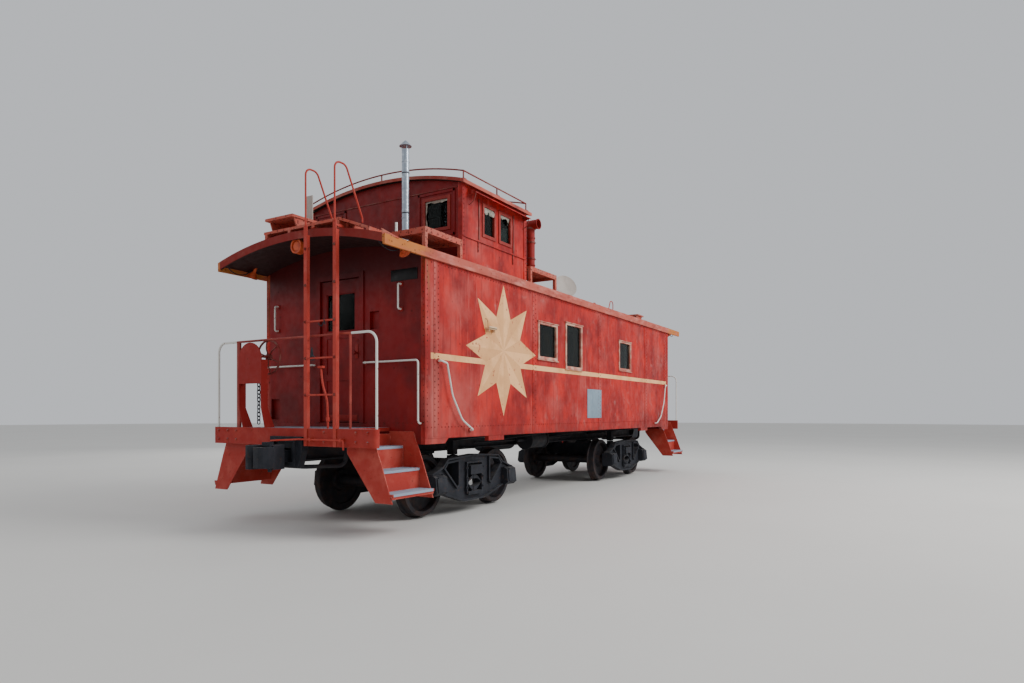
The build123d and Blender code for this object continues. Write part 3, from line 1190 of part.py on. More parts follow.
def leaf_half(middle):
    """Upper half of the elliptic spring: nested leaves, each shorter than the one under it."""
    base = arc_radius(SPRING_HALF_LENGTH, LEAF_CAMBER)
    centre = middle + LEAF_CAMBER - base
    y0 = -JOURNAL_CENTRE - SPRING_WIDTH / 2
    pack = None
    for number in range(LEAF_COUNT):
        inner = base + number * LEAF_THICKNESS
        outer = inner + LEAF_THICKNESS
        half = SPRING_HALF_LENGTH - number * LEAF_STEP
        low = centre + sqrt(inner**2 - half**2)
        high = centre + sqrt(outer**2 - half**2)
        top = ThreePointArc((-half, y0, high), (0, y0, centre + outer), (half, y0, high))
        under = ThreePointArc((half, y0, low), (0, y0, centre + inner), (-half, y0, low))
        ends = [Line((-half, y0, low), (-half, y0, high)), Line((half, y0, high), (half, y0, low))]
        leaf = extrude(make_face([ends[0], top, ends[1], under]), amount=SPRING_WIDTH, dir=(0, 1, 0))
        pack = leaf if pack is None else pack + leaf
    return pack


def spring():
    """Elliptic leaf spring of the right side, from the frame's seat to the bolster."""
    middle = (SPRING_SEAT + SPRING_TOP) / 2
    half = SPRING_WIDTH / 2
    y = (-JOURNAL_CENTRE - half, -JOURNAL_CENTRE + half)
    wide = (y[0] - SPRING_EYE / 2, y[1] + SPRING_EYE / 2)
    upper = leaf_half(middle)
    stack = LEAF_CAMBER + LEAF_COUNT * LEAF_THICKNESS
    upper += block((-SPRING_BAND_HALF, SPRING_BAND_HALF), wide, (middle + LEAF_CAMBER - 6, SPRING_TOP))
    upper += block((-SPRING_SEAT_HALF, SPRING_SEAT_HALF), y, (middle + stack, SPRING_TOP))
    shape = upper + Pos(0, 0, 2 * middle) * upper.mirror(Plane.XY)
    for x in (-SPRING_HALF_LENGTH, SPRING_HALF_LENGTH):
        shape += rod((x, wide[0], middle), (x, wide[1], middle), SPRING_EYE)
    return shape


def locker():
    """Right cupola locker with its climbing steps and two facing seats on top."""
    clear = CUPOLA_WALL + CUPOLA_SEAT_CLEARANCE
    x = (CUPOLA_X0 + clear, CUPOLA_X1 - clear)
    y = (-INNER_HALF + LOCKER_INSET, -INNER_HALF + LOCKER_INSET + LOCKER_DEPTH)
    top = CABIN_FLOOR_TOP + LOCKER_HEIGHT
    seat = top + SEAT_HEIGHT
    shape = block(x, y, (CABIN_FLOOR_TOP, top))
    for number in range(1, 4):
        tread = CABIN_FLOOR_TOP + number * LOCKER_HEIGHT / 4
        shape += block((x[1], x[1] + 160), (y[1] - 300, y[1]), (tread - TREAD_THICKNESS, tread))
    width = (y[0] + 130, y[1] - 80)
    for back, out in ((x[0] + 20, 1), (x[1] - 20, -1)):
        base = sorted((back, back + out * SEAT_DEPTH))
        rest = sorted((back, back + out * 60))
        shape += block(base, width, (top, seat)) + block(rest, width, (seat, seat + SEAT_BACK))
    return shape


def bunk():
    """Bench bunk along the left wall: closed box with a raised end board and a thick top."""
    x = (from_rear(BUNK_FROM_END), from_rear(BUNK_FROM_END + BUNK_LENGTH))
    y = (INNER_HALF - BUNK_DEPTH, INNER_HALF - 4)
    top = CABIN_FLOOR_TOP + BUNK_HEIGHT
    box = block(x, (y[0] + 30, y[1]), (CABIN_FLOOR_TOP, top)) + block(x, y, (top, top + 40))
    return box + block((x[0] - 30, x[0]), y, (CABIN_FLOOR_TOP, top + BUNK_HEIGHT))


def stove():
    """Round heating stove under the smoke jack, with its pipe bent up to the ceiling."""
    x, y, radius = JACK_X, STOVE_Y, STOVE_RADIUS
    leg, top = CABIN_FLOOR_TOP + 110, CABIN_FLOOR_TOP + STOVE_HEIGHT
    shape = rod((x, y, leg), (x, y, top), radius)
    for z in (leg, top - 35):
        shape += rod((x, y, z), (x, y, z + 35), radius + 20)
    for number in range(4):
        angle = radians(90 * number + 45)
        foot = (x + 0.8 * radius * cos(angle), y + 0.8 * radius * sin(angle))
        shape += rod((foot[0], foot[1], CABIN_FLOOR_TOP), (foot[0], foot[1], leg), 18)
    bend = top + 0.7 * (EAVE_HEIGHT - top)
    points = [(x, y, top - 20), (x, y, bend), (x, JACK_Y, bend + 200), (x, JACK_Y, ROOF_CROWN)]
    return under_roof(shape + bent_bar(points, STOVE_PIPE_RADIUS, 110))


def brake_cylinder():
    """Air brake cylinder under the floor on two hangers, with its push rod."""
    y, z = CYLINDER_Y, CABIN_FLOOR_TOP - 360
    x0, x1 = CYLINDER_X
    radius = CYLINDER_RADIUS
    shape = rod((x0, y, z), (x1, y, z), radius)
    shape += rod((x0 - 30, y, z), (x0, y, z), radius + 22) + rod((x1, y, z), (x1 + 25, y, z), radius + 22)
    shape += rod((x0 - 300, y, z), (x0 - 10, y, z), 24)
    for x in (x0 + 90, x1 - 110):
        shape += block((x, x + 40), (y - 60, y + 60), (z, FRAME_DECK))
    return shape


def air_tank():
    """Air tank under the floor on two hangers."""
    y, z, radius = TANK_Y, CABIN_FLOOR_TOP - 410, TANK_RADIUS
    x0, x1 = TANK_X
    shape = rod((x0, y, z), (x1, y, z), radius) + rod((x0 - 45, y, z), (x1 + 45, y, z), 0.78 * radius)
    for x in (x0 + 150, x1 - 190):
        shape += block((x, x + 40), (y - 110, y + 110), (z, FRAME_DECK))
    return shape


def battery_box():
    """Battery box hung from the left side sill, with a sloping lid."""
    x = (-350.0, 250.0)
    sill = INNER_HALF - SIDE_SILL_WIDTH
    back = FRAME_DECK - SIDE_SILL_DEPTH
    y0 = TANK_Y + TANK_RADIUS + 60
    box = [(y0, back - 360), (INNER_HALF, back - 360), (INNER_HALF, back - 60), (sill, back)]
    hanger = [(sill, FRAME_DECK), (sill - 30, FRAME_DECK), (sill - 30, back)]
    return along_x(box + hanger + [(y0, back)], x)


def save(shape, node):
    """Writes one node's STEP file."""
    export_step(shape, f"parts/{node}.step")


def save_both_ends(shape, node):
    """Writes a rear piece and its copy turned round to the front."""
    save(shape, f"{node}_rear")
    save(turned(shape), f"{node}_front")


def save_both_sides(shape, node):
    """Writes a right piece and its mirror image on the left."""
    save(shape, f"{node}_right")
    save(mirrored(shape), f"{node}_left")


def save_body():
    """Walls, doors, roofs, windows and floor."""
    save_both_sides(side_wall(), "side_wall")
    save_both_sides(cupola_side(), "cupola_side")
    save_both_ends(end_wall(), "end_wall")
    save_both_ends(end_door(), "door")
    save(cupola_end((CUPOLA_X0, CUPOLA_X0 + CUPOLA_WALL)), "cupola_end_rear")
    save(cupola_end((CUPOLA_X1 - CUPOLA_WALL, CUPOLA_X1)), "cupola_end_front")
    save(main_roof(), "main_roof")
    save(cupola_roof(), "cupola_roof")
    frames, panes = zip(*right_windows())
    save(group(*frames, *[mirrored(frame) for frame in frames]), "window_frames")
    save(group(*panes, *[mirrored(pane) for pane in panes]), "window_glass")
    inside = HALF_LENGTH - WALL
    save(block((-inside, inside), (-INNER_HALF, INNER_HALF), (FRAME_DECK, CABIN_FLOOR_TOP)), "cabin_floor")


def save_roof_fittings():
    """Visors, rail, boards, pipes, aerials and lamps."""
    save(group(visor(), mirrored(visor())), "cupola_visors")
    save(cupola_rail(), "cupola_rail")
    behind = -ROOF_END + WALK_END_SETBACK + RAISED_STEP_LENGTH + WALK_THICKNESS
    walks = [end_walk(), turned(end_walk())]
    walks += [centre_walk((behind, CUPOLA_X0)), centre_walk((CUPOLA_X1, -behind))]
    rear_end, front_start = CUPOLA_X0 - SIDE_WALK_GAP, CUPOLA_X1 + SIDE_WALK_GAP
    rear_length, front_length = SIDE_WALK_LENGTHS
    for x in ((rear_end - rear_length, rear_end), (front_start, front_start + front_length)):
        walks += [side_walk(x), mirrored(side_walk(x))]
    save(group(*walks), "roof_walks")
    save(group(stovepipe(), vent_pipe()), "stovepipe")
    save(smoke_jack(), "smoke_jack")
    save(group(satellite_dish(), panel_aerial()), "aerials")
    lamp = eave_lamp()
    lamps = [lamp, mirrored(lamp), turned(lamp), turned(mirrored(lamp)), drum_lamp(), turned(drum_lamp())]
    save(group(*lamps), "end_lamps")


def save_ends():
    """Platforms, steps, railings, ladders, brake gear, couplers and grab rails."""
    save_both_ends(platform(), "platform")
    save_both_ends(group(steps(), mirrored(steps())), "steps")
    save_both_ends(end_railing(), "end_railing")
    save_both_ends(ladder(), "ladder")
    save_both_ends(brake_stand(), "brake_stand")
    save_both_ends(coupler(), "coupler")
    save(group(brake_wheel(), turned(brake_wheel())), "brake_wheels")
    save(group(draft_gear(), turned(draft_gear())), "draft_gears")
    save(group(uncoupling_lever(), turned(uncoupling_lever())), "uncoupling_levers")
    grab = side_grab()
    grabs = [grab, mirrored(grab), turned(grab), turned(mirrored(grab)), end_grabs(), turned(end_grabs())]
    save(group(*grabs), "grab_rails")


def save_underside():
    """Sills, cross members and brake gear below the floor."""
    save(group(centre_sill(), mirrored(centre_sill())), "centre_sills")
    save(group(side_sill(), mirrored(side_sill())), "side_sills")
    save(cross_members(), "cross_members")
    pipes = [train_pipe(), turned(train_pipe())]
    save(group(brake_cylinder(), air_tank(), battery_box(), *pipes), "underfloor_gear")


def save_interior():
    """Furniture that shows through the windows."""
    save(group(locker(), mirrored(locker()), bunk()), "cabin_furniture")
    save(stove(), "stove")


def save_trucks():
    """Side frames, bolsters, springs, wheels and axles."""
    for name, x in (("rear", -TRUCK_X), ("front", TRUCK_X)):
        place = Pos(x, 0, 0)
        save_both_sides(place * side_frame(), f"truck_{name}_frame")
        save(place * truck_bolster(), f"truck_{name}_bolster")
        save(group(place * spring(), place * mirrored(spring())), f"truck_{name}_springs")
        for number, axle_x in enumerate((x - HALF_BASE, x + HALF_BASE), start=1 if x < 0 else 3):
            save(Pos(axle_x, 0, AXLE_HEIGHT) * group(wheel(), mirrored(wheel())), f"wheels_{number}")
            save(Pos(axle_x, 0, AXLE_HEIGHT) * axle(), f"axle_{number}")


def main():
    """Builds every node into the parts folder."""
    os.makedirs("parts", exist_ok=True)
    save_body()
    save_roof_fittings()
    save_ends()
    save_underside()
    save_interior()
    save_trucks()


main()
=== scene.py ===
"""Looks of a steel railway caboose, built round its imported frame.

Metres. X runs along the car, Y across it and Z up, as in the frame. The rear end is at -X and
the right side at -Y. Materials read Object coordinates, which are the frame's own, so a stain or
a stripe is placed by its real distance from the middle of the car.
"""
from __future__ import annotations

import logging
import math
import random
from dataclasses import dataclass
from enum import Enum
from typing import Callable, Iterable, Sequence

import bpy
from mathutils import Matrix, Vector


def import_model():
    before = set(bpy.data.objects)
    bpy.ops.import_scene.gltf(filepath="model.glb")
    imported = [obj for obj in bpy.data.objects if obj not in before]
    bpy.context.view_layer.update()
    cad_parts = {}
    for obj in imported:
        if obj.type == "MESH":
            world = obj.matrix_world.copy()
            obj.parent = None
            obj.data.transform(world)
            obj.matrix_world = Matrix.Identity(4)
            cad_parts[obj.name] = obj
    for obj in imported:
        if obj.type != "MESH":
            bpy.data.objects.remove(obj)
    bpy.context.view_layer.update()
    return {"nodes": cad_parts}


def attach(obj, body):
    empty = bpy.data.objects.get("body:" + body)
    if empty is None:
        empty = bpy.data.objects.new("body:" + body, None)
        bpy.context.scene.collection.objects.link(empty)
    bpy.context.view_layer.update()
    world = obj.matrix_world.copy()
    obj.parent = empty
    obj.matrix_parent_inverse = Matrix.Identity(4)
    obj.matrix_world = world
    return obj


LOG = logging.getLogger("caboose")
Point = tuple[float, float, float]
Socket = bpy.types.NodeSocket
Piece = bpy.types.Object

# Main sizes of the car body
HALF_LENGTH = 4.572
HALF_WIDTH = 1.422
PLATFORM_TOP = 1.235
PLATFORM_END = 5.432
ROOF_END = 5.332
SIDE_BOTTOM = 1.1
SIDE_TOP = 3.286
EAVE_HEIGHT = 3.405
EAVE_HALF_WIDTH = 1.46
ROOF_CROWN = 3.62
CUPOLA_X = (-3.772, -2.112)
CUPOLA_HALF_WIDTH = 1.4
SEAMS = (-4.352, -1.882, 0.588, 3.058, 4.352)

SIDES = ((-1, "right"), (1, "left"))
BACKWARD: Point = (-1.0, 0.0, 0.0)
UPWARD: Point = (0.0, 0.0, 1.0)
# Turn that stands a flat shape up in the XZ plane
UPRIGHT: Point = (math.pi / 2.0, 0.0, 0.0)

# Cosine between the rounded and the true normal where wear starts and is full
EDGE_COSINES = (0.99, 0.85)
# Width, octaves and seed of the noise that breaks up worn edges, and of the one that varies gloss
EDGE_NOISE = (60.0, 4.0, 3.0)
GLOSS_NOISE = (90.0, 5.0, 9.0)
WORN_ROUGHNESS = 0.8

# Sockets of the Mix node that blend two colours, and those that blend two numbers
MIX_A, MIX_B, MIX_OUT = 6, 7, 2
BLEND_A, BLEND_B = 2, 3


def outward(side: int) -> Point:
    """The way out of a side wall: side is -1 for the right and 1 for the left."""
    return 0.0, float(side), 0.0


def linear(code: str) -> tuple[float, float, float, float]:
    """Turn an sRGB hex colour into the linear colour that a shader reads.

    Args:
        code: six hex digits after a hash sign.

    Returns:
        Linear red, green, blue and full alpha.
    """
    shares = [int(code[i:i + 2], 16) / 255 for i in (1, 3, 5)]
    mixed = [s / 12.92 if s <= 0.04045 else ((s + 0.055) / 1.055) ** 2.4 for s in shares]
    return mixed[0], mixed[1], mixed[2], 1.0


def add_node(
    tree: bpy.types.NodeTree, kind: str, sockets: dict | None = None, **settings: object
) -> bpy.types.Node:
    """Add a shader node with its settings, fixed values and links.

    Args:
        tree: the material's node tree.
        kind: Blender's name for the node.
        sockets: input name or index, with the value or the output that feeds it.
        settings: options of the node itself.

    Returns:
        The new node.
    """
    node = tree.nodes.new(kind)
    for name, value in settings.items():
        setattr(node, name, value)
    for name, value in (sockets or {}).items():
        if isinstance(value, bpy.types.NodeSocket):
            tree.links.new(value, node.inputs[name])
        else:
            node.inputs[name].default_value = value
    return node


class Axis(Enum):
    """What a zone is measured along."""

    X = "x"
    Z = "z"
    ABS_X = "distance from the middle along the car"
    ABS_Y = "distance from the middle across the car"
    UP = "how far the surface faces up"


class Pattern(Enum):
    """How a coat is spread over its zone."""

    EVEN = "all over"
    CLOUD = "soft patches"
    SPOT = "round spots"


@dataclass(frozen=True)
class Zone:
    """A stretch along one axis where a coat fades in from nothing at start to all at full."""

    axis: Axis
    start: float
    full: float


@dataclass(frozen=True)
class Coat:
    """One layer of colour over another, such as fading, a stain, dirt or rust."""

    colour: str
    size_mm: float = 300.0
    cover: tuple[float, float] = (0.5, 0.7)
    strength: float = 1.0
    seed: float = 0.0
    stretch: Point = (1.0, 1.0, 1.0)
    zones: tuple[Zone, ...] = ()
    rough: float | None = None
    pattern: Pattern = Pattern.CLOUD
    detail: float = 6.0


def between(axis: Axis, low: float, high: float, soft: float = 0.01) -> tuple[Zone, Zone]:
    """Two zones that keep a coat between two places on an axis.

    Args:
        axis: what the places are measured along.
        low: where the coat starts.
        high: where it ends.
        soft: length over which it fades.

    Returns:
        The zone that fades in at low and the one that fades out at high.
    """
    return Zone(axis, low, low + soft), Zone(axis, high, high - soft)


class Surface:
    """One material's node tree while it is put together."""

    def __init__(self, name: str) -> None:
        """Start an empty material and the sockets that its patterns read.

        Args:
            name: the material's name.
        """
        self.material = bpy.data.materials.new(name)
        self.material.use_nodes = True
        self.tree = self.material.node_tree
        self.tree.nodes.clear()
        place = add_node(self.tree, "ShaderNodeTexCoord").outputs
        self.place = place["Object"]
        x, y, z = add_node(self.tree, "ShaderNodeSeparateXYZ", {0: self.place}).outputs
        facing = add_node(self.tree, "ShaderNodeSeparateXYZ", {0: place["Normal"]}).outputs
        self.along = {Axis.X: x, Axis.Z: z, Axis.UP: facing[2]}
        for axis, socket in ((Axis.ABS_X, x), (Axis.ABS_Y, y)):
            size = add_node(self.tree, "ShaderNodeMath", {0: socket}, operation="ABSOLUTE")
            self.along[axis] = size.outputs[0]

    def cloud(self, size_mm: float, detail: float, seed: float, stretch: Point = (1.0, 1.0, 1.0)) -> Socket:
        """Noise whose patches are about the given size.

        Args:
            size_mm: width of a patch.
            detail: octaves of finer noise.
            seed: moves the pattern.
            stretch: how many times longer it is along each axis.

        Returns:
            The noise value, mostly from 0.3 to 0.7.
        """
        scale = [1000.0 / (size_mm * share) for share in stretch]
        shift = (seed, 1.7 * seed, 2.3 * seed)
        inputs = {"Vector": self.place, "Scale": scale, "Location": shift}
        moved = add_node(self.tree, "ShaderNodeMapping", inputs).outputs[0]
        inputs = {"Vector": moved, "Scale": 1.0, "Detail": detail, "Roughness": 0.6}
        return add_node(self.tree, "ShaderNodeTexNoise", inputs).outputs[0]

    def spots(self, size_mm: float, seed: float) -> Socket:
        """Cells whose value is high at their middle, for specks of rust or chips.

        Args:
            size_mm: distance between specks.
            seed: moves the pattern.

        Returns:
            One at the middle of a cell, falling outwards.
        """
        inputs = {"Vector": self.place, "Scale": [1000.0 / size_mm] * 3, "Location": [seed] * 3}
        moved = add_node(self.tree, "ShaderNodeMapping", inputs).outputs[0]
        cells = add_node(self.tree, "ShaderNodeTexVoronoi", {"Vector": moved, "Scale": 1.0})
        height = add_node(self.tree, "ShaderNodeMath", {0: 1.0, 1: cells.outputs[0]}, operation="SUBTRACT")
        return height.outputs[0]

    def limited(self, value: Socket | float, zones: Sequence[Zone]) -> Socket | float:
        """Multiply a mask by each zone's fade.

        Args:
            value: the mask.
            zones: where it may show.

        Returns:
            The mask inside all the zones.
        """
        for zone in zones:
            inputs = {"Value": self.along[zone.axis], "From Min": zone.start, "From Max": zone.full}
            fade = add_node(self.tree, "ShaderNodeMapRange", inputs, interpolation_type="SMOOTHSTEP")
            inputs = {0: value, 1: fade.outputs[0]}
            value = add_node(self.tree, "ShaderNodeMath", inputs, operation="MULTIPLY").outputs[0]
        return value

    def mask(self, coat: Coat) -> Socket | float:
        """How much of a coat shows at each place.

        Args:
            coat: the layer.

        Returns:
            A value from 0 to the coat's strength.
        """
        if coat.pattern is Pattern.EVEN:
            return self.limited(coat.strength, coat.zones)
        if coat.pattern is Pattern.SPOT:
            value = self.spots(coat.size_mm, coat.seed)
        else:
            value = self.cloud(coat.size_mm, coat.detail, coat.seed, coat.stretch)
        low, high = coat.cover
        inputs = {"Value": value, "From Min": low, "From Max": high, "To Max": coat.strength}
        return self.limited(add_node(self.tree, "ShaderNodeMapRange", inputs).outputs[0], coat.zones)

    def lay(
        self, under: tuple[object, object], colour: object, mask: Socket | float, rough: float | None = None
    ) -> tuple[Socket, object]:
        """Lay a colour, and a roughness if it has one, over what is below.

        Args:
            under: the colour and the roughness below.
            colour: colour or socket on top.
            mask: how much of the top shows.
            rough: roughness of the top, if it differs.

        Returns:
            The blended colour and roughness.
        """
        inputs = {0: mask, MIX_A: under[0], MIX_B: colour}
        shown = add_node(self.tree, "ShaderNodeMix", inputs, data_type="RGBA").outputs[MIX_OUT]
        if rough is None:
            return shown, under[1]
        inputs = {0: mask, BLEND_A: under[1], BLEND_B: rough}
        return shown, add_node(self.tree, "ShaderNodeMix", inputs).outputs[0]

    def worn_edge(self, radius_mm: float) -> Socket:
        """Mask of the outside edges, broken into patches as knocks and weather leave them.

        Args:
            radius_mm: width of the worn strip.

        Returns:
            A mask from 0 to 1.
        """
        start, full = EDGE_COSINES
        rounded = add_node(self.tree, "ShaderNodeBevel", {"Radius": radius_mm / 1000.0}, samples=3)
        normal = add_node(self.tree, "ShaderNodeNewGeometry").outputs["Normal"]
        inputs = {0: rounded.outputs[0], 1: normal}
        turned = add_node(self.tree, "ShaderNodeVectorMath", inputs, operation="DOT_PRODUCT")
        inputs = {"Value": turned.outputs["Value"], "From Min": start, "From Max": full}
        edge = add_node(self.tree, "ShaderNodeMapRange", inputs)
        inputs = {"Value": self.cloud(*EDGE_NOISE), "From Min": 0.42, "From Max": 0.58}
        patches = add_node(self.tree, "ShaderNodeMapRange", inputs)
        inputs = {0: edge.outputs[0], 1: patches.outputs[0]}
        return add_node(self.tree, "ShaderNodeMath", inputs, operation="MULTIPLY").outputs[0]

    def relief(self, waves: Sequence[tuple[float, float]]) -> Socket:
        """Bump from layers of noise.

        Args:
            waves: width and depth in millimetres of each layer.

        Returns:
            The bent normal.
        """
        height: object = 0.0
        for k, (size_mm, depth_mm) in enumerate(waves):
            inputs = {0: self.cloud(size_mm, 3.0, 5.0 + k), 1: depth_mm / 1000.0, 2: height}
            height = add_node(self.tree, "ShaderNodeMath", inputs, operation="MULTIPLY_ADD").outputs[0]
        return add_node(self.tree, "ShaderNodeBump", {"Height": height, "Distance": 1.0}).outputs[0]

    def finish(self, **sockets: object) -> bpy.types.Material:
        """Close the tree with the shader and its output.

        Args:
            sockets: the shader's inputs by name, with underscores for spaces.

        Returns:
            The material.
        """
        inputs = {name.replace("_", " "): value for name, value in sockets.items()}
        shader = add_node(self.tree, "ShaderNodeBsdfPrincipled", inputs)
        add_node(self.tree, "ShaderNodeOutputMaterial", {0: shader.outputs[0]})
        return self.material


@dataclass(frozen=True)
class Finish:
    """A finish made of a ground colour with coats over it, roughness and relief."""

    name: str
    ground: str
    coats: tuple[Coat, ...] = ()
    roughness: tuple[float, float] = (0.5, 0.7)
    edge: str | None = None
    edge_mm: float = 8.0
    metallic: float = 0.0
    relief: tuple[tuple[float, float], ...] = ((6.0, 0.12), (160.0, 0.9))
    gloss: float = 0.3

    def colour(self, surface: Surface) -> tuple[object, object]:
        """Lay the coats over the ground.

        Args:
            surface: the material's tree.

        Returns:
            The colour and the roughness.
        """
        low, high = self.roughness
        inputs = {"Value": surface.cloud(*GLOSS_NOISE), "From Min": 0.35, "From Max": 0.65,
                  "To Min": low, "To Max": high}
        shown = (linear(self.ground), add_node(surface.tree, "ShaderNodeMapRange", inputs).outputs[0])
        for coat in self.coats:
            shown = surface.lay(shown, linear(coat.colour), surface.mask(coat), coat.rough)
        return shown

    def material(self) -> bpy.types.Material:
        """Make the material.

        Returns:
            The finished material.
        """
        surface = Surface(self.name)
        shown = self.colour(surface)
        if self.edge:
            shown = surface.lay(shown, linear(self.edge), surface.worn_edge(self.edge_mm), WORN_ROUGHNESS)
        return surface.finish(Base_Color=shown[0], Roughness=shown[1], Metallic=self.metallic,
                              Specular_IOR_Level=self.gloss, Normal=surface.relief(self.relief))


@dataclass(frozen=True)
class LiveryFinish(Finish):
    """The side's enamel with the cream belt stripe and the eight-pointed star painted on it."""

    cream: str = "#F8BE84"
    cream_shade: str = "#D39862"
    stripe: tuple[float, float] = (2.075, 2.155)
    stripe_ends: tuple[float, float] = (-4.47, 4.45)
    star_centre: tuple[float, float] = (-2.782, 2.305)
    star_radius: float = 0.935
    star_waist: float = 0.5
    star_points: int = 8
    # Waviness of the star's brushed edge, where its mask starts and is full, and how soft its ridges are
    brushed: float = 0.006
    rim: tuple[float, float] = (0.001, 0.005)
    ridge: float = 0.004
    # Strength of the shade on the darker halves, and the outer faces of the side walls
    shade: float = 0.55
    outside: tuple[Zone, ...] = (Zone(Axis.ABS_Y, 1.40, 1.41),)

    def star(self, surface: Surface) -> tuple[Socket, Socket]:
        """Mask of the star and of the darker half of each of its points.

        Args:
            surface: the material's tree.

        Returns:
            One inside the star, and one on the darker halves.
        """
        step = 2.0 * math.pi / self.star_points
        waist = (self.star_waist * math.cos(step / 2.0), self.star_waist * math.sin(step / 2.0))
        slope = waist[1] / (self.star_radius - waist[0])
        # Each sum's name, its operation and what goes in: a number, a socket or an earlier sum's name
        sums = (
            ("across", "SUBTRACT", surface.along[Axis.X], self.star_centre[0]),
            ("up", "SUBTRACT", surface.along[Axis.Z], self.star_centre[1]),
            ("angle", "ARCTAN2", "up", "across"),
            ("moved", "ADD", "angle", step / 2.0),
            ("turn", "FLOORED_MODULO", "moved", step),
            ("side", "SUBTRACT", "turn", step / 2.0),
            ("up_squared", "MULTIPLY", "up", "up"),
            ("squares", "MULTIPLY_ADD", "across", "across", "up_squared"),
            ("reach", "SQRT", "squares"),
            ("cosine", "COSINE", "side"),
            ("out", "MULTIPLY", "reach", "cosine"),
            ("sine", "SINE", "side"),
            ("sine_size", "ABSOLUTE", "sine"),
            ("off", "MULTIPLY", "reach", "sine_size"),
            ("reached", "MULTIPLY_ADD", "out", slope, "off"),
            ("depth", "SUBTRACT", self.star_radius * slope, "reached"),
            ("brushed", "MULTIPLY_ADD", surface.cloud(35.0, 3.0, 14.0), self.brushed, "depth"),
        )
        made: dict[str, Socket] = {}
        for name, operation, *values in sums:
            inputs = {k: made[v] if isinstance(v, str) else v for k, v in enumerate(values)}
            made[name] = add_node(surface.tree, "ShaderNodeMath", inputs, operation=operation).outputs[0]
        masks = []
        for name, low, high in (("brushed", *self.rim), ("side", -self.ridge, self.ridge)):
            inputs = {"Value": made[name], "From Min": low, "From Max": high}
            masks.append(add_node(surface.tree, "ShaderNodeMapRange", inputs).outputs[0])
        return masks[0], masks[1]

    def colour(self, surface: Surface) -> tuple[object, object]:
        """Paint the stripe and the star over the side's coats, with the same wear.

        Args:
            surface: the material's tree.

        Returns:
            The colour and the roughness.
        """
        base = super().colour(surface)
        place = (*self.outside, *between(Axis.Z, *self.stripe, 0.004),
                 *between(Axis.X, *self.stripe_ends, 0.02))
        belt = Coat(self.cream, 120, (0.22, 0.3), seed=21, zones=place)
        inside, dark = self.star(surface)
        inside = surface.limited(inside, self.outside)
        shade = linear(self.cream_shade)
        patches = surface.mask(Coat("", 420, (0.45, 0.62), 0.7))
        cream = surface.lay((linear(self.cream), None), shade, patches)
        worn = surface.mask(Coat("", 70, (0.70, 0.62), seed=8, detail=8))
        factors = []
        for pair in ((dark, self.shade), (inside, worn)):
            inputs = dict(enumerate(pair))
            factors.append(add_node(surface.tree, "ShaderNodeMath", inputs, operation="MULTIPLY").outputs[0])
        star_cream = surface.lay(cream, shade, factors[0])
        striped = surface.lay(base, cream[0], surface.mask(belt))
        return surface.lay(striped, star_cream[0], factors[1])


@dataclass(frozen=True)
class GlassFinish(Finish):
    """Float glass under a film of dust that kills most of its mirror, so the dark cabin shows."""

    dust: str = "#5A5850"
    refraction: float = 1.16

    def material(self) -> bpy.types.Material:
        """Make the material.

        Returns:
            The finished material.
        """
        surface = Surface(self.name)
        film = surface.mask(Coat("", 120, (0.4, 0.75), 0.25, 61))
        clean, dusty = self.roughness
        shown = surface.lay((linear(self.ground), clean), linear(self.dust), film, dusty)
        return surface.finish(Base_Color=shown[0], Roughness=shown[1], Transmission_Weight=0.97,
                              IOR=self.refraction, Specular_IOR_Level=self.gloss)


EVEN, SPOT = Pattern.EVEN, Pattern.SPOT
# Faces inside the cabin and the cupola, whatever node they are on
CABIN_INSIDE = between(Axis.ABS_X, -1.0, 4.522) + between(Axis.ABS_Y, -1.0, 1.4) + between(Axis.Z, 1.2, 3.34)
CUPOLA_INSIDE = between(Axis.X, -3.75, -2.135) + between(Axis.ABS_Y, -1.0, 1.378) + between(Axis.Z, 3.3, 4.56)
# The lining that shows through the windows, darkened to near black as painted shade of the cabin's inside
LINING_WITH_PAINTED_SHADE = "#1E1F1A"
# Faces that look up, where dust lies, and those that feet tread, on the steps only below the deck
DUSTY_TOP = (Zone(Axis.UP, 0.3, 0.8),)
TREAD = (Zone(Axis.UP, 0.5, 0.7),)
STEP_TREAD = (*TREAD, Zone(Axis.Z, 1.12, 1.08))
# Height of each step's top and the distance of its nosing from the middle of the car
NOSINGS = ((0.515, 1.56), (0.755, 1.35), (1.015, 1.09))
# Undersides, eaves and the parts of the roof beyond the end walls
UNDER = (Zone(Axis.UP, -0.2, -0.5),)
EAVE = (Zone(Axis.ABS_Y, 1.415, 1.425),)
EAVE_OVER_ENDS = (*EAVE, Zone(Axis.ABS_X, 4.35, 4.7))
ON_CUPOLA = (Zone(Axis.Z, 3.3, 3.35),)

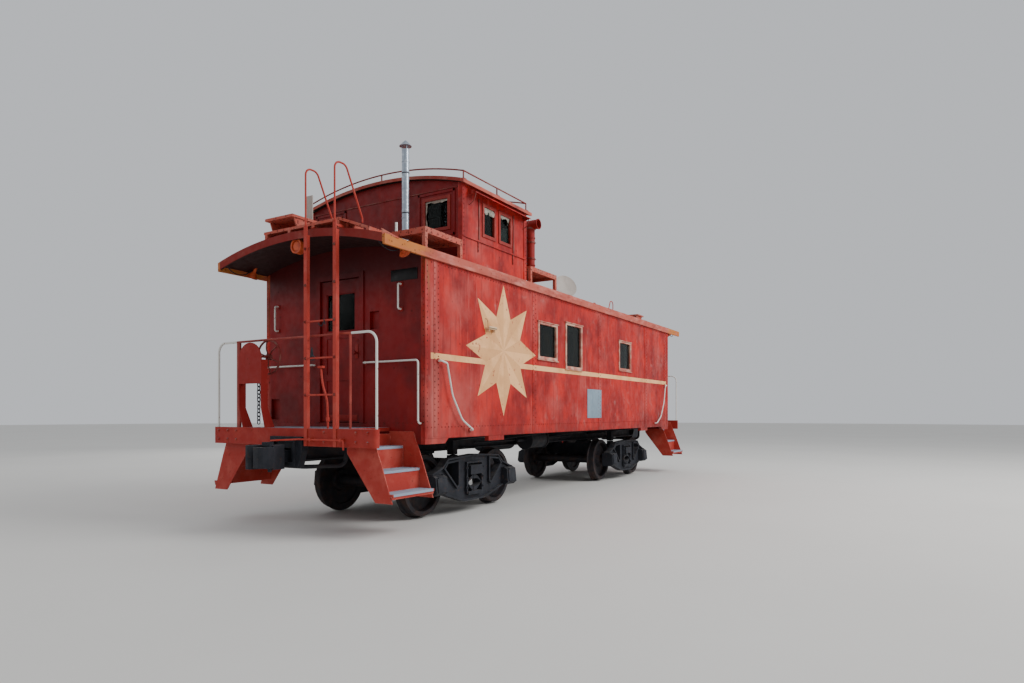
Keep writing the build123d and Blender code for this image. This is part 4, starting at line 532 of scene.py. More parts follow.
# The columns of a coat are its colour, the patches' width in millimetres, the noise values where it
# starts and is full, its strength, its seed, how far it is stretched along each axis, and its zones.
# The side is alkyd enamel over steel sheet, sprayed and then bleached by sun and rain. It shows as
# cloudy patches of brick, rose and deep red with thin vertical wash marks.
SIDE_COATS = (
    Coat("#7C0D0C", 850, (0.45, 0.60), 0.85, 1),
    Coat("#C92418", 380, (0.48, 0.64), 0.8, 2, (1, 1, 1.6)),
    Coat("#B9544D", 520, (0.52, 0.72), 0.65, 3, (1, 1, 1.3)),
    Coat("#650B0A", 45, (0.52, 0.70), 0.5, 4, (1, 1, 14)),
    Coat("#D27A70", 60, (0.58, 0.76), 0.35, 6, (1, 1, 11)),
    Coat("#B8968E", 260, (0.62, 0.78), 0.3, 7),
    Coat("#BC625A", 420, (0.36, 0.60), 0.5, 10, (1, 1, 1.6),
         (Zone(Axis.X, -2.9, -3.9), Zone(Axis.Z, 2.15, 1.6))),
    Coat("#C47268", 200, (0.3, 0.6), 0.6, 11, (1, 1, 6), between(Axis.X, -4.5, -4.28, 0.08)),
    Coat("#7A5A32", 60, (0.42, 0.62), 0.65, 12, (1, 1, 8),
         (Zone(Axis.X, -4.44, -4.53), Zone(Axis.Z, 2.2, 3.1))),
    Coat("#5E2A22", 120, (0.4, 0.7), 0.5, 13, (1, 1, 2), (Zone(Axis.Z, 1.35, 1.1),)),
    Coat("#3A1A14", 190, (0.9, 0.95), 0.55, 5, rough=0.9, pattern=SPOT),
)
# Painted shade: the faces inside the cabin and the cupola take the near-black lining
INSIDE_COATS = (
    Coat(LINING_WITH_PAINTED_SHADE, zones=CABIN_INSIDE, pattern=EVEN),
    Coat(LINING_WITH_PAINTED_SHADE, zones=CUPOLA_INSIDE, pattern=EVEN),
    Coat("#1C1E1A", 300, (0.5, 0.75), 0.5, 31, zones=CABIN_INSIDE),
)
# The end walls' coats: a darker red than the sides', partly less faded enamel and partly painted shade
END_COATS = (
    Coat("#5C0507", 700, (0.46, 0.62), 0.7, 1.5),
    Coat("#941812", 260, (0.5, 0.72), 0.5, 2.5, (1, 1, 2.2)),
    Coat("#9C4A42", 60, (0.62, 0.8), 0.25, 3.5, (1, 1, 9)),
    # Painted shade: the end wall darkens to near black towards the roof, where the overhang's shadow falls
    Coat("#360406", 900, (0.1, 0.35), 0.8, 6.5, zones=(Zone(Axis.Z, 2.75, 3.3),)),
    Coat("#4A1B16", 150, (0.45, 0.7), 0.55, 4.5, (1, 1, 2), (Zone(Axis.Z, 1.5, 1.25),)),
    Coat("#35120F", 240, (0.92, 0.96), 0.5, 5.5, rough=0.9, pattern=SPOT),
)
RUST = Coat("#5B2A1C", 60, (0.62, 0.70), 0.65, 15, rough=0.92, detail=8)
FADE = Coat("#C05A4C", 220, (0.48, 0.7), 0.55, 16)
DUST = Coat("#A09284", 180, (0.45, 0.75), 0.4, 17, rough=0.9)

FINISHES: tuple[Finish, ...] = (
    LiveryFinish("enamel_side", "#A81B15", SIDE_COATS + INSIDE_COATS, (0.42, 0.68)),
    # The cupola has the side's enamel without the marks that belong to places on the body
    Finish("enamel_cupola", "#9C1611", SIDE_COATS[:6] + SIDE_COATS[10:] + INSIDE_COATS, (0.42, 0.68)),
    # The ends' enamel is a darker copy of the sides' red: partly less faded enamel, partly painted shade
    Finish("enamel_end", "#82080B", END_COATS + INSIDE_COATS, (0.45, 0.65)),
    Finish("enamel_cupola_end", "#7A080A", END_COATS[:3] + END_COATS[5:] + INSIDE_COATS, (0.45, 0.65)),
    # Rivet heads: darker than the sheets, partly the enamel worn off them first and partly painted shade of
    # each small head, so rows show as darker dots
    Finish("enamel_rivet_heads", "#6E1A15", (
        Coat("#8E2A22", 160, (0.45, 0.6), 0.8, 74),
        Coat("#3C1C14", 240, (0.5, 0.62), 0.8, 75, rough=0.9),
    ), (0.5, 0.75)),
    # Brake stand and smoke jack: thick enamel, brushed on and deeper than the sheets
    Finish("enamel_stand", "#8E1A14", (Coat("#A63A30", 200, (0.5, 0.7), 0.5, 76), RUST),
           (0.5, 0.7), "#5A2A1E", 6),
    # Brush-painted angle iron: chalky brick red, rust brown where the edges are knocked
    Finish("enamel_ironwork", "#B23A2E", (FADE, RUST), (0.5, 0.75), "#5A2A1E", 6),
    Finish("enamel_dark_ironwork", "#7E2B26", (RUST, DUST), (0.5, 0.75), "#4A211A", 5),
    # White handrail enamel, chipped to rust in places
    Finish("enamel_white", "#DCDAD3", (
        Coat("#B4ABA0", 90, (0.5, 0.75), 0.5, 18),
        Coat("#6A3424", 60, (0.82, 0.9), 0.8, 19, rough=0.9, pattern=SPOT),
    ), (0.35, 0.55)),
    # Top rail: red in the middle and white where hands reach it beside the steps
    Finish("enamel_railing", "#8E332C", (
        FADE,
        RUST,
        Coat("#DDDBD4", zones=(Zone(Axis.ABS_Y, 1.0, 1.005),), pattern=EVEN),
        Coat("#6A3424", 55, (0.84, 0.9), 0.8, 45, rough=0.9, pattern=SPOT),
    ), (0.4, 0.65)),
    # Roof sheets: dusty red above, near black under the overhangs as painted shade, bleached and rusty at the
    # eaves
    Finish("enamel_roof", "#963C33", (
        Coat("#B4604F", 600, (0.45, 0.65), 0.6, 46, (1, 2, 1)),
        DUST,
        Coat("#6B2622", 130, (0.5, 0.7), 0.5, 47, (1, 5, 1)),
        RUST,
        # Painted shade: faces that look down are near black
        Coat("#1C0607", strength=0.95, zones=UNDER, pattern=EVEN),
        Coat("#7C1612", 300, (0.25, 0.45), 0.85, 77, zones=(Zone(Axis.ABS_X, 5.318, 5.328),)),
        Coat("#B85A4C", 160, (0.3, 0.55), 1, 48, (2, 1, 1), EAVE),
        Coat("#D08476", 90, (0.5, 0.68), 0.7, 49, (4, 1, 1), EAVE),
        Coat("#BE7434", 240, (0.3, 0.5), 0.9, 50, (2, 1, 1), EAVE_OVER_ENDS),
        Coat("#3E1C12", 60, (0.8, 0.88), 0.8, 51, zones=EAVE_OVER_ENDS, rough=0.92, pattern=SPOT),
        # Painted shade: the cabin's ceiling takes the near-black lining
        Coat(LINING_WITH_PAINTED_SHADE, zones=UNDER + between(Axis.ABS_X, -1.0, 4.5) + between(Axis.ABS_Y, -1.0, 1.35),
             pattern=EVEN),
    ), (0.6, 0.85)),
    # Boards of expanded sheet steel: bleached salmon on top, rust where it drips
    Finish("enamel_walkway", "#B85444", (
        FADE, RUST, DUST, Coat("#5E2018", 42, (0.66, 0.76), 0.8, 79, pattern=SPOT),
    ), (0.6, 0.85), "#D08A78", 6),
    # Platform: chequered deck worn to bluish grey, end sill brick red
    Finish("enamel_platform", "#9C2A22", (
        Coat("#B24436", 200, (0.5, 0.7), 0.5, 52),
        RUST,
        Coat("#7B8794", strength=0.95, zones=TREAD, pattern=EVEN),
        Coat("#9E5A4A", 240, (0.52, 0.64), 0.8, 53, zones=TREAD),
        Coat("#59493F", 120, (0.55, 0.7), 0.6, 54, zones=TREAD),
    ), (0.55, 0.8), "#B8685A", 7),
    # Steps: brick-red plates with treads painted pale blue-grey and worn to rust at the nosing
    Finish("enamel_steps", "#A8342A", (
        Coat("#C05A4C", 260, (0.46, 0.66), 0.6, 55),
        RUST,
        Coat("#93A6B8", strength=0.97, zones=STEP_TREAD, pattern=EVEN),
        Coat("#6E7883", 140, (0.5, 0.7), 0.5, 56, zones=STEP_TREAD),
        *(Coat("#8FA2B4", 120, (0.25, 0.4), 0.95, 78,
               zones=between(Axis.Z, top - 0.034, top + 0.002, 0.003)
               + between(Axis.ABS_Y, lip - 0.006, lip + 0.006, 0.004)
               + between(Axis.ABS_X, 4.588, 5.298, 0.002)) for top, lip in NOSINGS),
        Coat("#7A3E2C", 90, (0.6, 0.66), 0.85, 57, zones=STEP_TREAD, rough=0.9),
    ), (0.5, 0.75), "#C98878", 7),
    # Hot-dipped sheet: grey-blue, with a soft spangle
    Finish("galvanised_sheet", "#9FA9B4", (
        Coat("#C6CDD4", 45, (0.5, 0.8), 0.6, 22, pattern=SPOT),
        Coat("#5C4A40", 70, (0.6, 0.8), 0.5, 23, (1, 1, 5)),
        Coat("#D6D4CE", zones=(Zone(Axis.X, -4.31, -4.33),), pattern=EVEN),
    ), (0.28, 0.45), metallic=0.75),
    # Cast steel under old black paint, dusty on its upper faces
    Finish("cast_steel_black", "#26282F", (
        Coat("#191B20", 160, (0.45, 0.65), 0.7, 24),
        Coat("#5C4336", 70, (0.58, 0.72), 0.5, 25, rough=0.92),
        Coat("#6E6A66", 120, (0.4, 0.7), 0.5, 26, zones=DUSTY_TOP),
    ), (0.55, 0.8), "#4A4D54", 6, relief=((14, 0.5), (90, 1.2))),
    # Wheel steel: brown-black rust, smoother at the tread
    Finish("wheel_steel", "#2E2C30", (
        Coat("#4A332A", 140, (0.45, 0.65), 0.7, 27),
        Coat("#1F2024", 60, (0.5, 0.7), 0.6, 28),
    ), (0.5, 0.75), metallic=0.3, relief=((10, 0.3), (70, 0.8))),
    # Underframe: black bituminous paint under road dust
    Finish("underframe_paint", "#26272C", (
        Coat("#4A3A32", 260, (0.5, 0.7), 0.5, 29),
        Coat("#5E5750", 90, (0.5, 0.75), 0.35, 30, zones=DUSTY_TOP),
    ), (0.6, 0.85)),
    # Dark, oiled pine boards
    Finish("pine_floor", "#5E4A38", (
        Coat("#3C2E22", 30, (0.48, 0.68), 0.8, 32, (18, 1, 1)),
        Coat("#2A211A", 60, (0.6, 0.66), 0.7, 33, (30, 1, 1)),
    ), (0.6, 0.8)),
    # Lockers of sheet steel in green-grey enamel, and the stove of bare iron with some rust
    Finish("locker_enamel", "#5D6C58", (Coat("#3E4A3B", 240, (0.5, 0.7), 0.6, 34),),
           (0.4, 0.6), "#8C8A80", 6),
    Finish("stove_iron", "#1E1E20", (Coat("#4B2E20", 90, (0.55, 0.7), 0.6, 35),),
           (0.5, 0.75), metallic=0.4),
    # Lamp housings: red enamel that the sun has turned orange
    Finish("enamel_lamp", "#C4542E", (
        Coat("#8E2E24", 70, (0.5, 0.65), 0.7, 36),
        Coat("#5B2A1C", 40, (0.8, 0.9), 0.6, 37, pattern=SPOT),
    ), (0.4, 0.6)),
    # Dish and aerial: powder-coated pressed steel, pale grey with rain marks
    Finish("powder_coat_grey", "#AFA79E", (Coat("#8C857C", 60, (0.5, 0.75), 0.5, 38, (1, 1, 5)),),
           (0.45, 0.6)),
    # Window frames: pale pinkish cream on the side windows, dull red on the cupola
    Finish("enamel_frames", "#B4685A", (
        Coat("#D8B49C", 140, (0.44, 0.6), 0.75, 58),
        Coat("#8A261F", zones=ON_CUPOLA, pattern=EVEN),
        Coat("#AE4C42", 110, (0.5, 0.7), 0.6, 59, zones=ON_CUPOLA),
        Coat("#5B2A1C", 40, (0.62, 0.7), 0.7, 60, rough=0.9),
    ), (0.45, 0.65), "#8A5A4A", 3),
    # Stove-enamelled plate with nothing written on it
    Finish("enamel_black", "#0C0B0C", (Coat("#241A1A", 50, (0.5, 0.75), 0.6, 41),), (0.3, 0.5)),
    # Curtain cotton: plain weave, sun-bleached in streaks
    Finish("cotton_brown", "#80583E", (Coat("#A88464", 40, (0.5, 0.75), 0.6, 71, (1, 1, 9)),),
           (0.85, 0.95), relief=((3, 0.2),)),
    Finish("cotton_grey", "#BCC0C2", (Coat("#8E9296", 40, (0.5, 0.75), 0.6, 72, (1, 1, 9)),),
           (0.85, 0.95), relief=((3, 0.2),)),
    # Sealing tape gone grey-white and chalky
    Finish("sealing_tape", "#A9A497", (Coat("#6E6A5E", 25, (0.45, 0.65), 0.7, 73),), (0.7, 0.9)),
    # The screwed-on panel's grey-blue enamel, washed out in streaks
    Finish("panel_blue", "#8295A3", (
        Coat("#6E8190", 160, (0.45, 0.7), 0.6, 42),
        Coat("#9FAFB9", 70, (0.55, 0.75), 0.5, 43, (1, 1, 6)),
    ), (0.45, 0.65)),
    # The ledge's cream enamel, worn to rust at its edges
    Finish("enamel_cream", "#DDBD97", (Coat("#B8936B", 60, (0.5, 0.7), 0.5, 44),),
           (0.45, 0.65), "#7A4A34", 5),
    GlassFinish("window_glass", "#6A7672", roughness=(0.03, 0.4), gloss=0.04),
)

# Which nodes of the frame wear each finish, by the start of their names
WEARERS = (
    ("enamel_side", ("side_wall",)),
    ("enamel_cupola", ("cupola_side", "cupola_visors")),
    ("enamel_end", ("end_wall", "door_")),
    ("enamel_cupola_end", ("cupola_end",)),
    ("enamel_roof", ("main_roof", "cupola_roof")),
    ("enamel_frames", ("window_frames",)),
    ("window_glass", ("window_glass",)),
    ("pine_floor", ("cabin_floor",)),
    ("enamel_dark_ironwork", ("cupola_rail", "brake_wheels")),
    ("enamel_walkway", ("roof_walks",)),
    ("galvanised_sheet", ("stovepipe",)),
    ("enamel_stand", ("smoke_jack", "brake_stand")),
    ("powder_coat_grey", ("aerials",)),
    ("enamel_lamp", ("end_lamps",)),
    ("enamel_platform", ("platform_",)),
    ("enamel_steps", ("steps_",)),
    ("enamel_railing", ("end_railing",)),
    ("enamel_ironwork", ("ladder_", "uncoupling_levers")),
    ("cast_steel_black", ("coupler_", "draft_gears", "truck_")),
    ("enamel_white", ("grab_rails",)),
    ("underframe_paint", ("centre_sills", "side_sills", "cross_members", "underfloor_gear")),
    ("locker_enamel", ("cabin_furniture",)),
    ("stove_iron", ("stove",)),
    ("wheel_steel", ("wheels_", "axle_")),
)

Materials = dict[str, bpy.types.Material]


def dress_frame(nodes: dict[str, Piece], finishes: Materials) -> None:
    """Give each frame node the finish of its own piece.

    Args:
        nodes: the frame's nodes by name.
        finishes: the materials by their finish's name.
    """
    for name, node in nodes.items():
        finish = next(finish for finish, starts in WEARERS if name.startswith(starts))
        node.data.materials.clear()
        node.data.materials.append(finishes[finish])
        LOG.info("%s wears %s", name, finish)


class Bench:
    """Modelling by hand: what each kind of small piece is started from and how it is shaped."""

    # Steps that round a bar's section, and those between two points of its route
    BAR_SECTION = 2
    BAR_STEPS = 6
    # Depths between which a torn edge is drawn, how many are drawn, and the tape's thickness
    TEARS = (0.25, 1.0)
    TEAR_COUNT = 9
    TAPE_THICKNESS = 0.0015

    @staticmethod
    def pick(*pieces: Piece) -> None:
        """Select only these pieces, the first of them active."""
        bpy.ops.object.select_all(action="DESELECT")
        for piece in pieces:
            piece.select_set(True)
        bpy.context.view_layer.objects.active = pieces[0]

    @staticmethod
    def start(operator: Callable, **settings: object) -> Piece:
        """Start a piece from one of Blender's own shapes, with nothing else selected.

        Args:
            operator: Blender's operator that adds the shape.
            settings: the operator's own values.

        Returns:
            The new piece.
        """
        bpy.ops.object.select_all(action="DESELECT")
        operator(**settings)
        return bpy.context.object

    @staticmethod
    def settle(piece: Piece) -> Piece:
        """Put the piece's place, turn and scale into its mesh.

        Args:
            piece: the piece.

        Returns:
            The same piece.
        """
        Bench.pick(piece)
        bpy.ops.object.transform_apply(location=True, rotation=True, scale=True)
        return piece

    @staticmethod
    def modify(piece: Piece, kind: str, **settings: object) -> Piece:
        """Add a modifier with its settings and apply it.

        Args:
            piece: the mesh.
            kind: Blender's name for the modifier.
            settings: the modifier's own values.

        Returns:
            The piece.
        """
        Bench.pick(piece)
        bpy.ops.object.modifier_add(type=kind)
        modifier = piece.modifiers[-1]
        for name, value in settings.items():
            setattr(modifier, name, value)
        bpy.ops.object.modifier_apply(modifier=modifier.name)
        return piece

    @staticmethod
    def joined(pieces: Sequence[Piece]) -> Piece:
        """Join pieces into one mesh.

        Args:
            pieces: the meshes, of which the first takes in the others.

        Returns:
            The first piece.
        """
        Bench.pick(*pieces)
        if len(pieces) > 1:
            bpy.ops.object.join()
        return pieces[0]

    @staticmethod
    def copied(piece: Piece, matrix: Matrix) -> Piece:
        """Copy a piece with its mesh to a place of its own.

        Args:
            piece: the piece to copy.
            matrix: where the copy stands.

        Returns:
            The copy.
        """
        twin = piece.copy()
        twin.data = piece.data.copy()
        bpy.context.scene.collection.objects.link(twin)
        twin.matrix_world = matrix
        return twin

    @staticmethod
    def stand(place: Point, way: Point) -> Matrix:
        """The turn and move that stand a piece at a place, its Z axis pointing a given way."""
        return Matrix.Translation(place) @ Vector(way).to_track_quat("Z", "Y").to_matrix().to_4x4()

    @staticmethod
    def spread(master: Piece, places: Iterable[tuple[Point, Point]],
               turn: random.Random | None = None) -> Piece:
        """Copy a small piece to many places, joined as one mesh.

        Args:
            master: the piece to copy, standing on Z = 0 at the origin. It is removed.
            places: where each copy stands and which way it points.
            turn: turns each copy about its own axis by chance, for nuts.

        Returns:
            The joined mesh.
        """
        copies = []
        for place, way in places:
            spin = Matrix.Rotation(turn.uniform(0.0, math.pi), 4, "Z") if turn else Matrix.Identity(4)
            copies.append(Bench.copied(master, Bench.stand(place, way) @ spin))
        bpy.data.objects.remove(master)
        return Bench.settle(Bench.joined(copies))

    @staticmethod
    def plate(low: Point, high: Point, edge: float = 0.002) -> Piece:
        """A block between two corners with its edges rounded.

        Args:
            low: one corner.
            high: the opposite corner.
            edge: radius of its edges.

        Returns:
            The block.
        """
        spans = [sorted(span) for span in zip(low, high)]
        middle = [(a + b) / 2.0 for a, b in spans]
        piece = Bench.start(bpy.ops.mesh.primitive_cube_add, size=1.0, location=middle)
        piece.scale = [b - a for a, b in spans]
        return Bench.modify(Bench.settle(piece), "BEVEL", width=edge, segments=2)

    @staticmethod
    def boards(box: tuple[float, float, float, float], depth: tuple[float, float], width: float,
               inset: float = 0.0) -> list[Piece]:
        """The four boards of a frame that stands across the car.

        Args:
            box: low and high across, then low and high in height.
            depth: back and face of the boards along the car.
            width: width of a board.
            inset: how far the uprights stop short of the frame's top and bottom.

        Returns:
            The bottom board, the top board and the uprights.
        """
        y0, y1, z0, z1 = box
        across = math.copysign(width, y1 - y0)
        runs = ((y0, y1, z0, z0 + width), (y0, y1, z1 - width, z1),
                (y0, y0 + across, z0 + inset, z1 - inset), (y1 - across, y1, z0 + inset, z1 - inset))
        return [Bench.plate((depth[0], a, c), (depth[1], b, d), 0.003) for a, b, c, d in runs]

    @staticmethod
    def bar(route: Sequence[Point], radius: float, smooth: bool = True, closed: bool = False) -> Piece:
        """A round bar along a route, with closed ends.

        Args:
            route: the points it follows.
            radius: its radius.
            smooth: whether the route bends softly or in straight runs.
            closed: whether it is a ring.

        Returns:
            The bar as a mesh.
        """
        path = Bench.start(bpy.ops.curve.primitive_nurbs_path_add)
        curve = path.data
        curve.splines.clear()
        spline = curve.splines.new("NURBS" if smooth else "POLY")
        spline.points.add(len(route) - 1)
        for point, place in zip(spline.points, route):
            point.co = (*place, 1.0)
        if smooth:
            spline.order_u = 3
            spline.use_endpoint_u = not closed
        spline.use_cyclic_u = closed
        curve.bevel_depth = radius
        curve.bevel_resolution = Bench.BAR_SECTION
        curve.resolution_u = Bench.BAR_STEPS
        curve.use_fill_caps = not closed
        Bench.pick(path)
        bpy.ops.object.convert(target="MESH")
        return Bench.settle(bpy.context.object)

    @staticmethod
    def collar(place: Point, radius: float, height: float, thickness: float) -> Piece:
        """A band clamped round an upright pipe.

        Args:
            place: the band's middle.
            radius: the pipe's radius.
            height: the band's height.
            thickness: how far it stands proud.

        Returns:
            The band.
        """
        band = Bench.start(bpy.ops.mesh.primitive_cylinder_add, vertices=32, radius=radius, depth=height,
                           end_fill_type="NOTHING", location=place)
        Bench.modify(Bench.settle(band), "SOLIDIFY", thickness=thickness, offset=1.0)
        return Bench.modify(band, "BEVEL", width=0.3 * thickness, segments=2, limit_method="ANGLE")

    @staticmethod
    def torn_strip(length: float, depth: float, seed: int) -> Piece:
        """A thin strip in the XZ plane whose lower edge is torn and curled, its top edge on Z = 0.

        Args:
            length: its length along X.
            depth: how far down the longest tatter hangs.
            seed: what the tear is drawn from.

        Returns:
            The strip.
        """
        strip = Bench.settle(Bench.start(bpy.ops.mesh.primitive_grid_add, x_subdivisions=26,
                                         y_subdivisions=4, size=1.0, rotation=UPRIGHT))
        chance = random.Random(seed)
        tears = [chance.uniform(*Bench.TEARS) for _ in range(Bench.TEAR_COUNT)]
        for vertex in strip.data.vertices:
            along = (vertex.co.x + 0.5) * (len(tears) - 1)
            low = min(int(along), len(tears) - 2)
            tear = tears[low] + (tears[low + 1] - tears[low]) * (along - low)
            down = 0.5 - vertex.co.z
            vertex.co.z = -down * depth * tear
            vertex.co.y = 0.25 * depth * down * math.sin(9.0 * vertex.co.x + seed)
            vertex.co.x = vertex.co.x * length + 0.004 * down * math.sin(40.0 * along)
        return Bench.modify(strip, "SOLIDIFY", thickness=Bench.TAPE_THICKNESS, offset=0.0)

    @staticmethod
    def rivet(radius: float, rise: float) -> Piece:
        """A rivet's round head, standing on Z = 0.

        Args:
            radius: radius of the head.
            rise: its height.

        Returns:
            The head, of a few dozen faces.
        """
        head = Bench.start(bpy.ops.mesh.primitive_uv_sphere_add, segments=8, ring_count=6, radius=radius)
        origin = (0.0, 0.0, 0.0)
        bpy.ops.object.mode_set(mode="EDIT")
        bpy.ops.mesh.select_all(action="SELECT")
        bpy.ops.mesh.bisect(plane_co=origin, plane_no=UPWARD, clear_inner=True, use_fill=False)
        bpy.ops.mesh.select_all(action="SELECT")
        bpy.ops.transform.resize(value=(1.0, 1.0, rise / radius), center_override=origin)
        bpy.ops.object.mode_set(mode="OBJECT")
        return head

    @staticmethod
    def bolt(radius: float, rise: float) -> Piece:
        """A hexagonal nut on its washer with the bolt's end in it, standing on Z = 0.

        Args:
            radius: radius of the nut across its corners.
            rise: the nut's height.

        Returns:
            The nut, washer and bolt's end as one mesh.
        """
        parts = []
        # Sides, radius as a share of the nut's, and low and high as shares of the nut's height
        for sides, share, low, high in ((6, 1.0, 0.1, 1.1), (10, 1.45, 0.0, 0.2), (10, 0.55, 0.0, 1.5)):
            parts.append(Bench.start(bpy.ops.mesh.primitive_cylinder_add, vertices=sides,
                                     radius=share * radius, depth=(high - low) * rise,
                                     location=(0.0, 0.0, (low + high) / 2.0 * rise)))
        Bench.modify(parts[0], "BEVEL", width=0.12 * radius, segments=1)
        return Bench.settle(Bench.joined(parts))


@dataclass
class Fitter:
    """Finishes each new piece, hangs it on its body and reports it."""

    finishes: Materials

    def fit(self, name: str, parts: Sequence[Piece], finish: str, body: str = "car_body",
            angle: float = 35.0) -> Piece:
        """Join a piece and give it its name, its finish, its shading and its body.

        Args:
            name: the piece's name.
            parts: the meshes it is made of.
            finish: the finish's name.
            body: the body that it rides on.
            angle: edges sharper than this many degrees stay hard.

        Returns:
            The piece.
        """
        piece = Bench.joined(parts)
        piece.name = name
        piece.data.materials.clear()
        piece.data.materials.append(self.finishes[finish])
        bpy.ops.object.shade_smooth_by_angle(angle=math.radians(angle))
        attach(piece, body)
        LOG.info("%s: %d faces in %s on %s", piece.name, len(piece.data.polygons), finish, body)
        return piece

    def stud(self, name: str, places: Iterable[tuple[Point, Point]], head: tuple[float, float],
             finish: str) -> None:
        """Fit rivet or screw heads as one piece.

        Args:
            name: the piece's name.
            places: where each head stands and which way it points.
            head: radius and height of a head.
            finish: the finish's name.
        """
        self.fit(name, [Bench.spread(Bench.rivet(*head), places)], finish)

    def fit_ends(self, name: str, parts: Sequence[Piece], finish: str, body: str = "car_body") -> None:
        """Fit a piece of the rear end, and its copy turned half round at the front.

        Args:
            name: the pieces' name without their end.
            parts: the meshes that the rear piece is made of.
            finish: the finish's name.
            body: the body that both ride on, or "door" for each end's own door.
        """
        rear = Bench.joined(parts)
        front = Bench.settle(Bench.copied(rear, Matrix.Rotation(math.pi, 4, "Z")))
        for end, piece in (("rear", rear), ("front", front)):
            self.fit(f"{name}_{end}", [piece], finish, f"door_{end}" if body == "door" else body)


@dataclass
class SideSheets:
    """What is fastened to the car's two sides: laps, rivets, drip caps, panel and ledge."""

    fitter: Fitter
    lap_width: float = 0.11
    lap_thickness: float = 0.004
    corner_width: float = 0.095
    # Half length, thickness and height of the bead along the skirt
    bead: tuple[float, float, float] = (4.56, 0.006, 0.012)
    pitch: float = 0.07
    row_offset: float = 0.036
    row_end: float = 4.52
    corner_row: float = 4.535
    sill_row: float = 1.24
    eave_row: float = 3.255
    # Start along the car, width, bottom and top of each side window
    windows: tuple[tuple[float, float, float, float], ...] = (
        (-1.772, 0.65, 2.265, 2.855), (-0.822, 0.65, 2.165, 2.945), (1.528, 0.65, 2.265, 2.855),
    )
    # How far a drip cap stands out, how far it laps past the window and how much its edge hangs
    drip: float = 0.03
    drip_lap: float = 0.02
    drip_fall: float = 0.008
    # Low and high along the car and in height of the panel, then the ledge's start, height and length
    panel: tuple[float, float, float, float] = (0.058, 0.678, 1.325, 1.845)
    ledge: tuple[float, float, float] = (-3.262, 2.565, 0.2)
    panel_thickness: float = 0.006
    panel_inset: float = 0.03

    def build(self) -> None:
        """Make the pieces of both sides."""
        for side, name in SIDES:
            self.laps(side, name)
            self.rivets(side, name)
            self.drip_caps(side, name)
        self.blue_panel()
        self.cream_ledge()

    def laps(self, side: int, name: str) -> None:
        """Cover strips over the joints of the sheets, a skirt bead and the two corner angles.

        Args:
            side: -1 for the right side and 1 for the left.
            name: the side's name.
        """
        wall = side * HALF_WIDTH
        face = side * (HALF_WIDTH + self.lap_thickness)
        half = self.lap_width / 2.0
        strips = [Bench.plate((x - half, wall, SIDE_BOTTOM + 0.02), (x + half, face, SIDE_TOP), 0.0015)
                  for x in SEAMS]
        for end in (-1, 1):
            inner = end * (HALF_LENGTH - self.corner_width)
            strips.append(Bench.plate((end * HALF_LENGTH, wall, SIDE_BOTTOM + 0.01),
                                      (inner, face, SIDE_TOP), 0.0015))
        half, proud, height = self.bead
        foot = SIDE_BOTTOM + 0.004
        strips.append(Bench.plate((-half, wall, foot), (half, wall + side * proud, foot + height), 0.003))
        self.fitter.fit(f"side_laps_{name}", strips, "enamel_side")

    def rivets(self, side: int, name: str) -> None:
        """Rows of rivets down the laps and along the side sill and the eave.

        Args:
            side: -1 for the right side and 1 for the left.
            name: the side's name.
        """
        pitch = self.pitch
        lap_face = HALF_WIDTH + self.lap_thickness
        rows = range(round((self.eave_row - self.sill_row) / pitch))
        columns = [-self.row_end + k * pitch for k in range(round(2.0 * self.row_end / pitch) + 1)]
        spots = [(x + offset, lap_face, self.sill_row + (k + shift) * pitch) for x in SEAMS for k in rows
                 for offset, shift in ((-self.row_offset, 0.0), (self.row_offset, 0.5))]
        spots += [(x, HALF_WIDTH, z) for z in (self.sill_row, self.eave_row) for x in columns
                  if min(abs(x - seam) for seam in SEAMS) > self.lap_width / 2.0]
        spots += [(end * self.corner_row, lap_face, self.sill_row + k * pitch)
                  for end in (-1, 1) for k in rows]
        places = [((x, side * y, z), outward(side)) for x, y, z in spots]
        self.fitter.stud(f"side_rivets_{name}", places, (0.010, 0.005), "enamel_rivet_heads")

    def drip_caps(self, side: int, name: str) -> None:
        """A folded drip strip over each window and a sloped sill under it.

        Args:
            side: -1 for the right side and 1 for the left.
            name: the side's name.
        """
        caps = []
        reach = HALF_WIDTH + self.drip
        for start, width, bottom, top in self.windows:
            for low, high in ((top, top + 0.012), (bottom - 0.014, bottom)):
                cap = Bench.plate((start - self.drip_lap, side * HALF_WIDTH, low),
                                  (start + width + self.drip_lap, side * reach, high), 0.003)
                for vertex in cap.data.vertices:
                    if abs(vertex.co.y) > HALF_WIDTH + self.drip / 2.0:
                        vertex.co.z -= self.drip_fall
                caps.append(cap)
        self.fitter.fit(f"window_caps_{name}", caps, "enamel_frames")

    def blue_panel(self) -> None:
        """The grey-blue sheet screwed over the right side below the third seam."""
        x0, x1, z0, z1 = self.panel
        face = -HALF_WIDTH - self.panel_thickness
        sheet = Bench.plate((x0, face, z0), (x1, -HALF_WIDTH, z1), 0.002)
        self.fitter.fit("blue_panel", [sheet], "panel_blue")
        inset = self.panel_inset
        places = [((x, face, z), outward(-1)) for x in (x0 + inset, (x0 + x1) / 2.0, x1 - inset)
                  for z in (z0 + inset, z1 - inset)]
        self.fitter.stud("blue_panel_screws", places, (0.008, 0.004), "panel_blue")

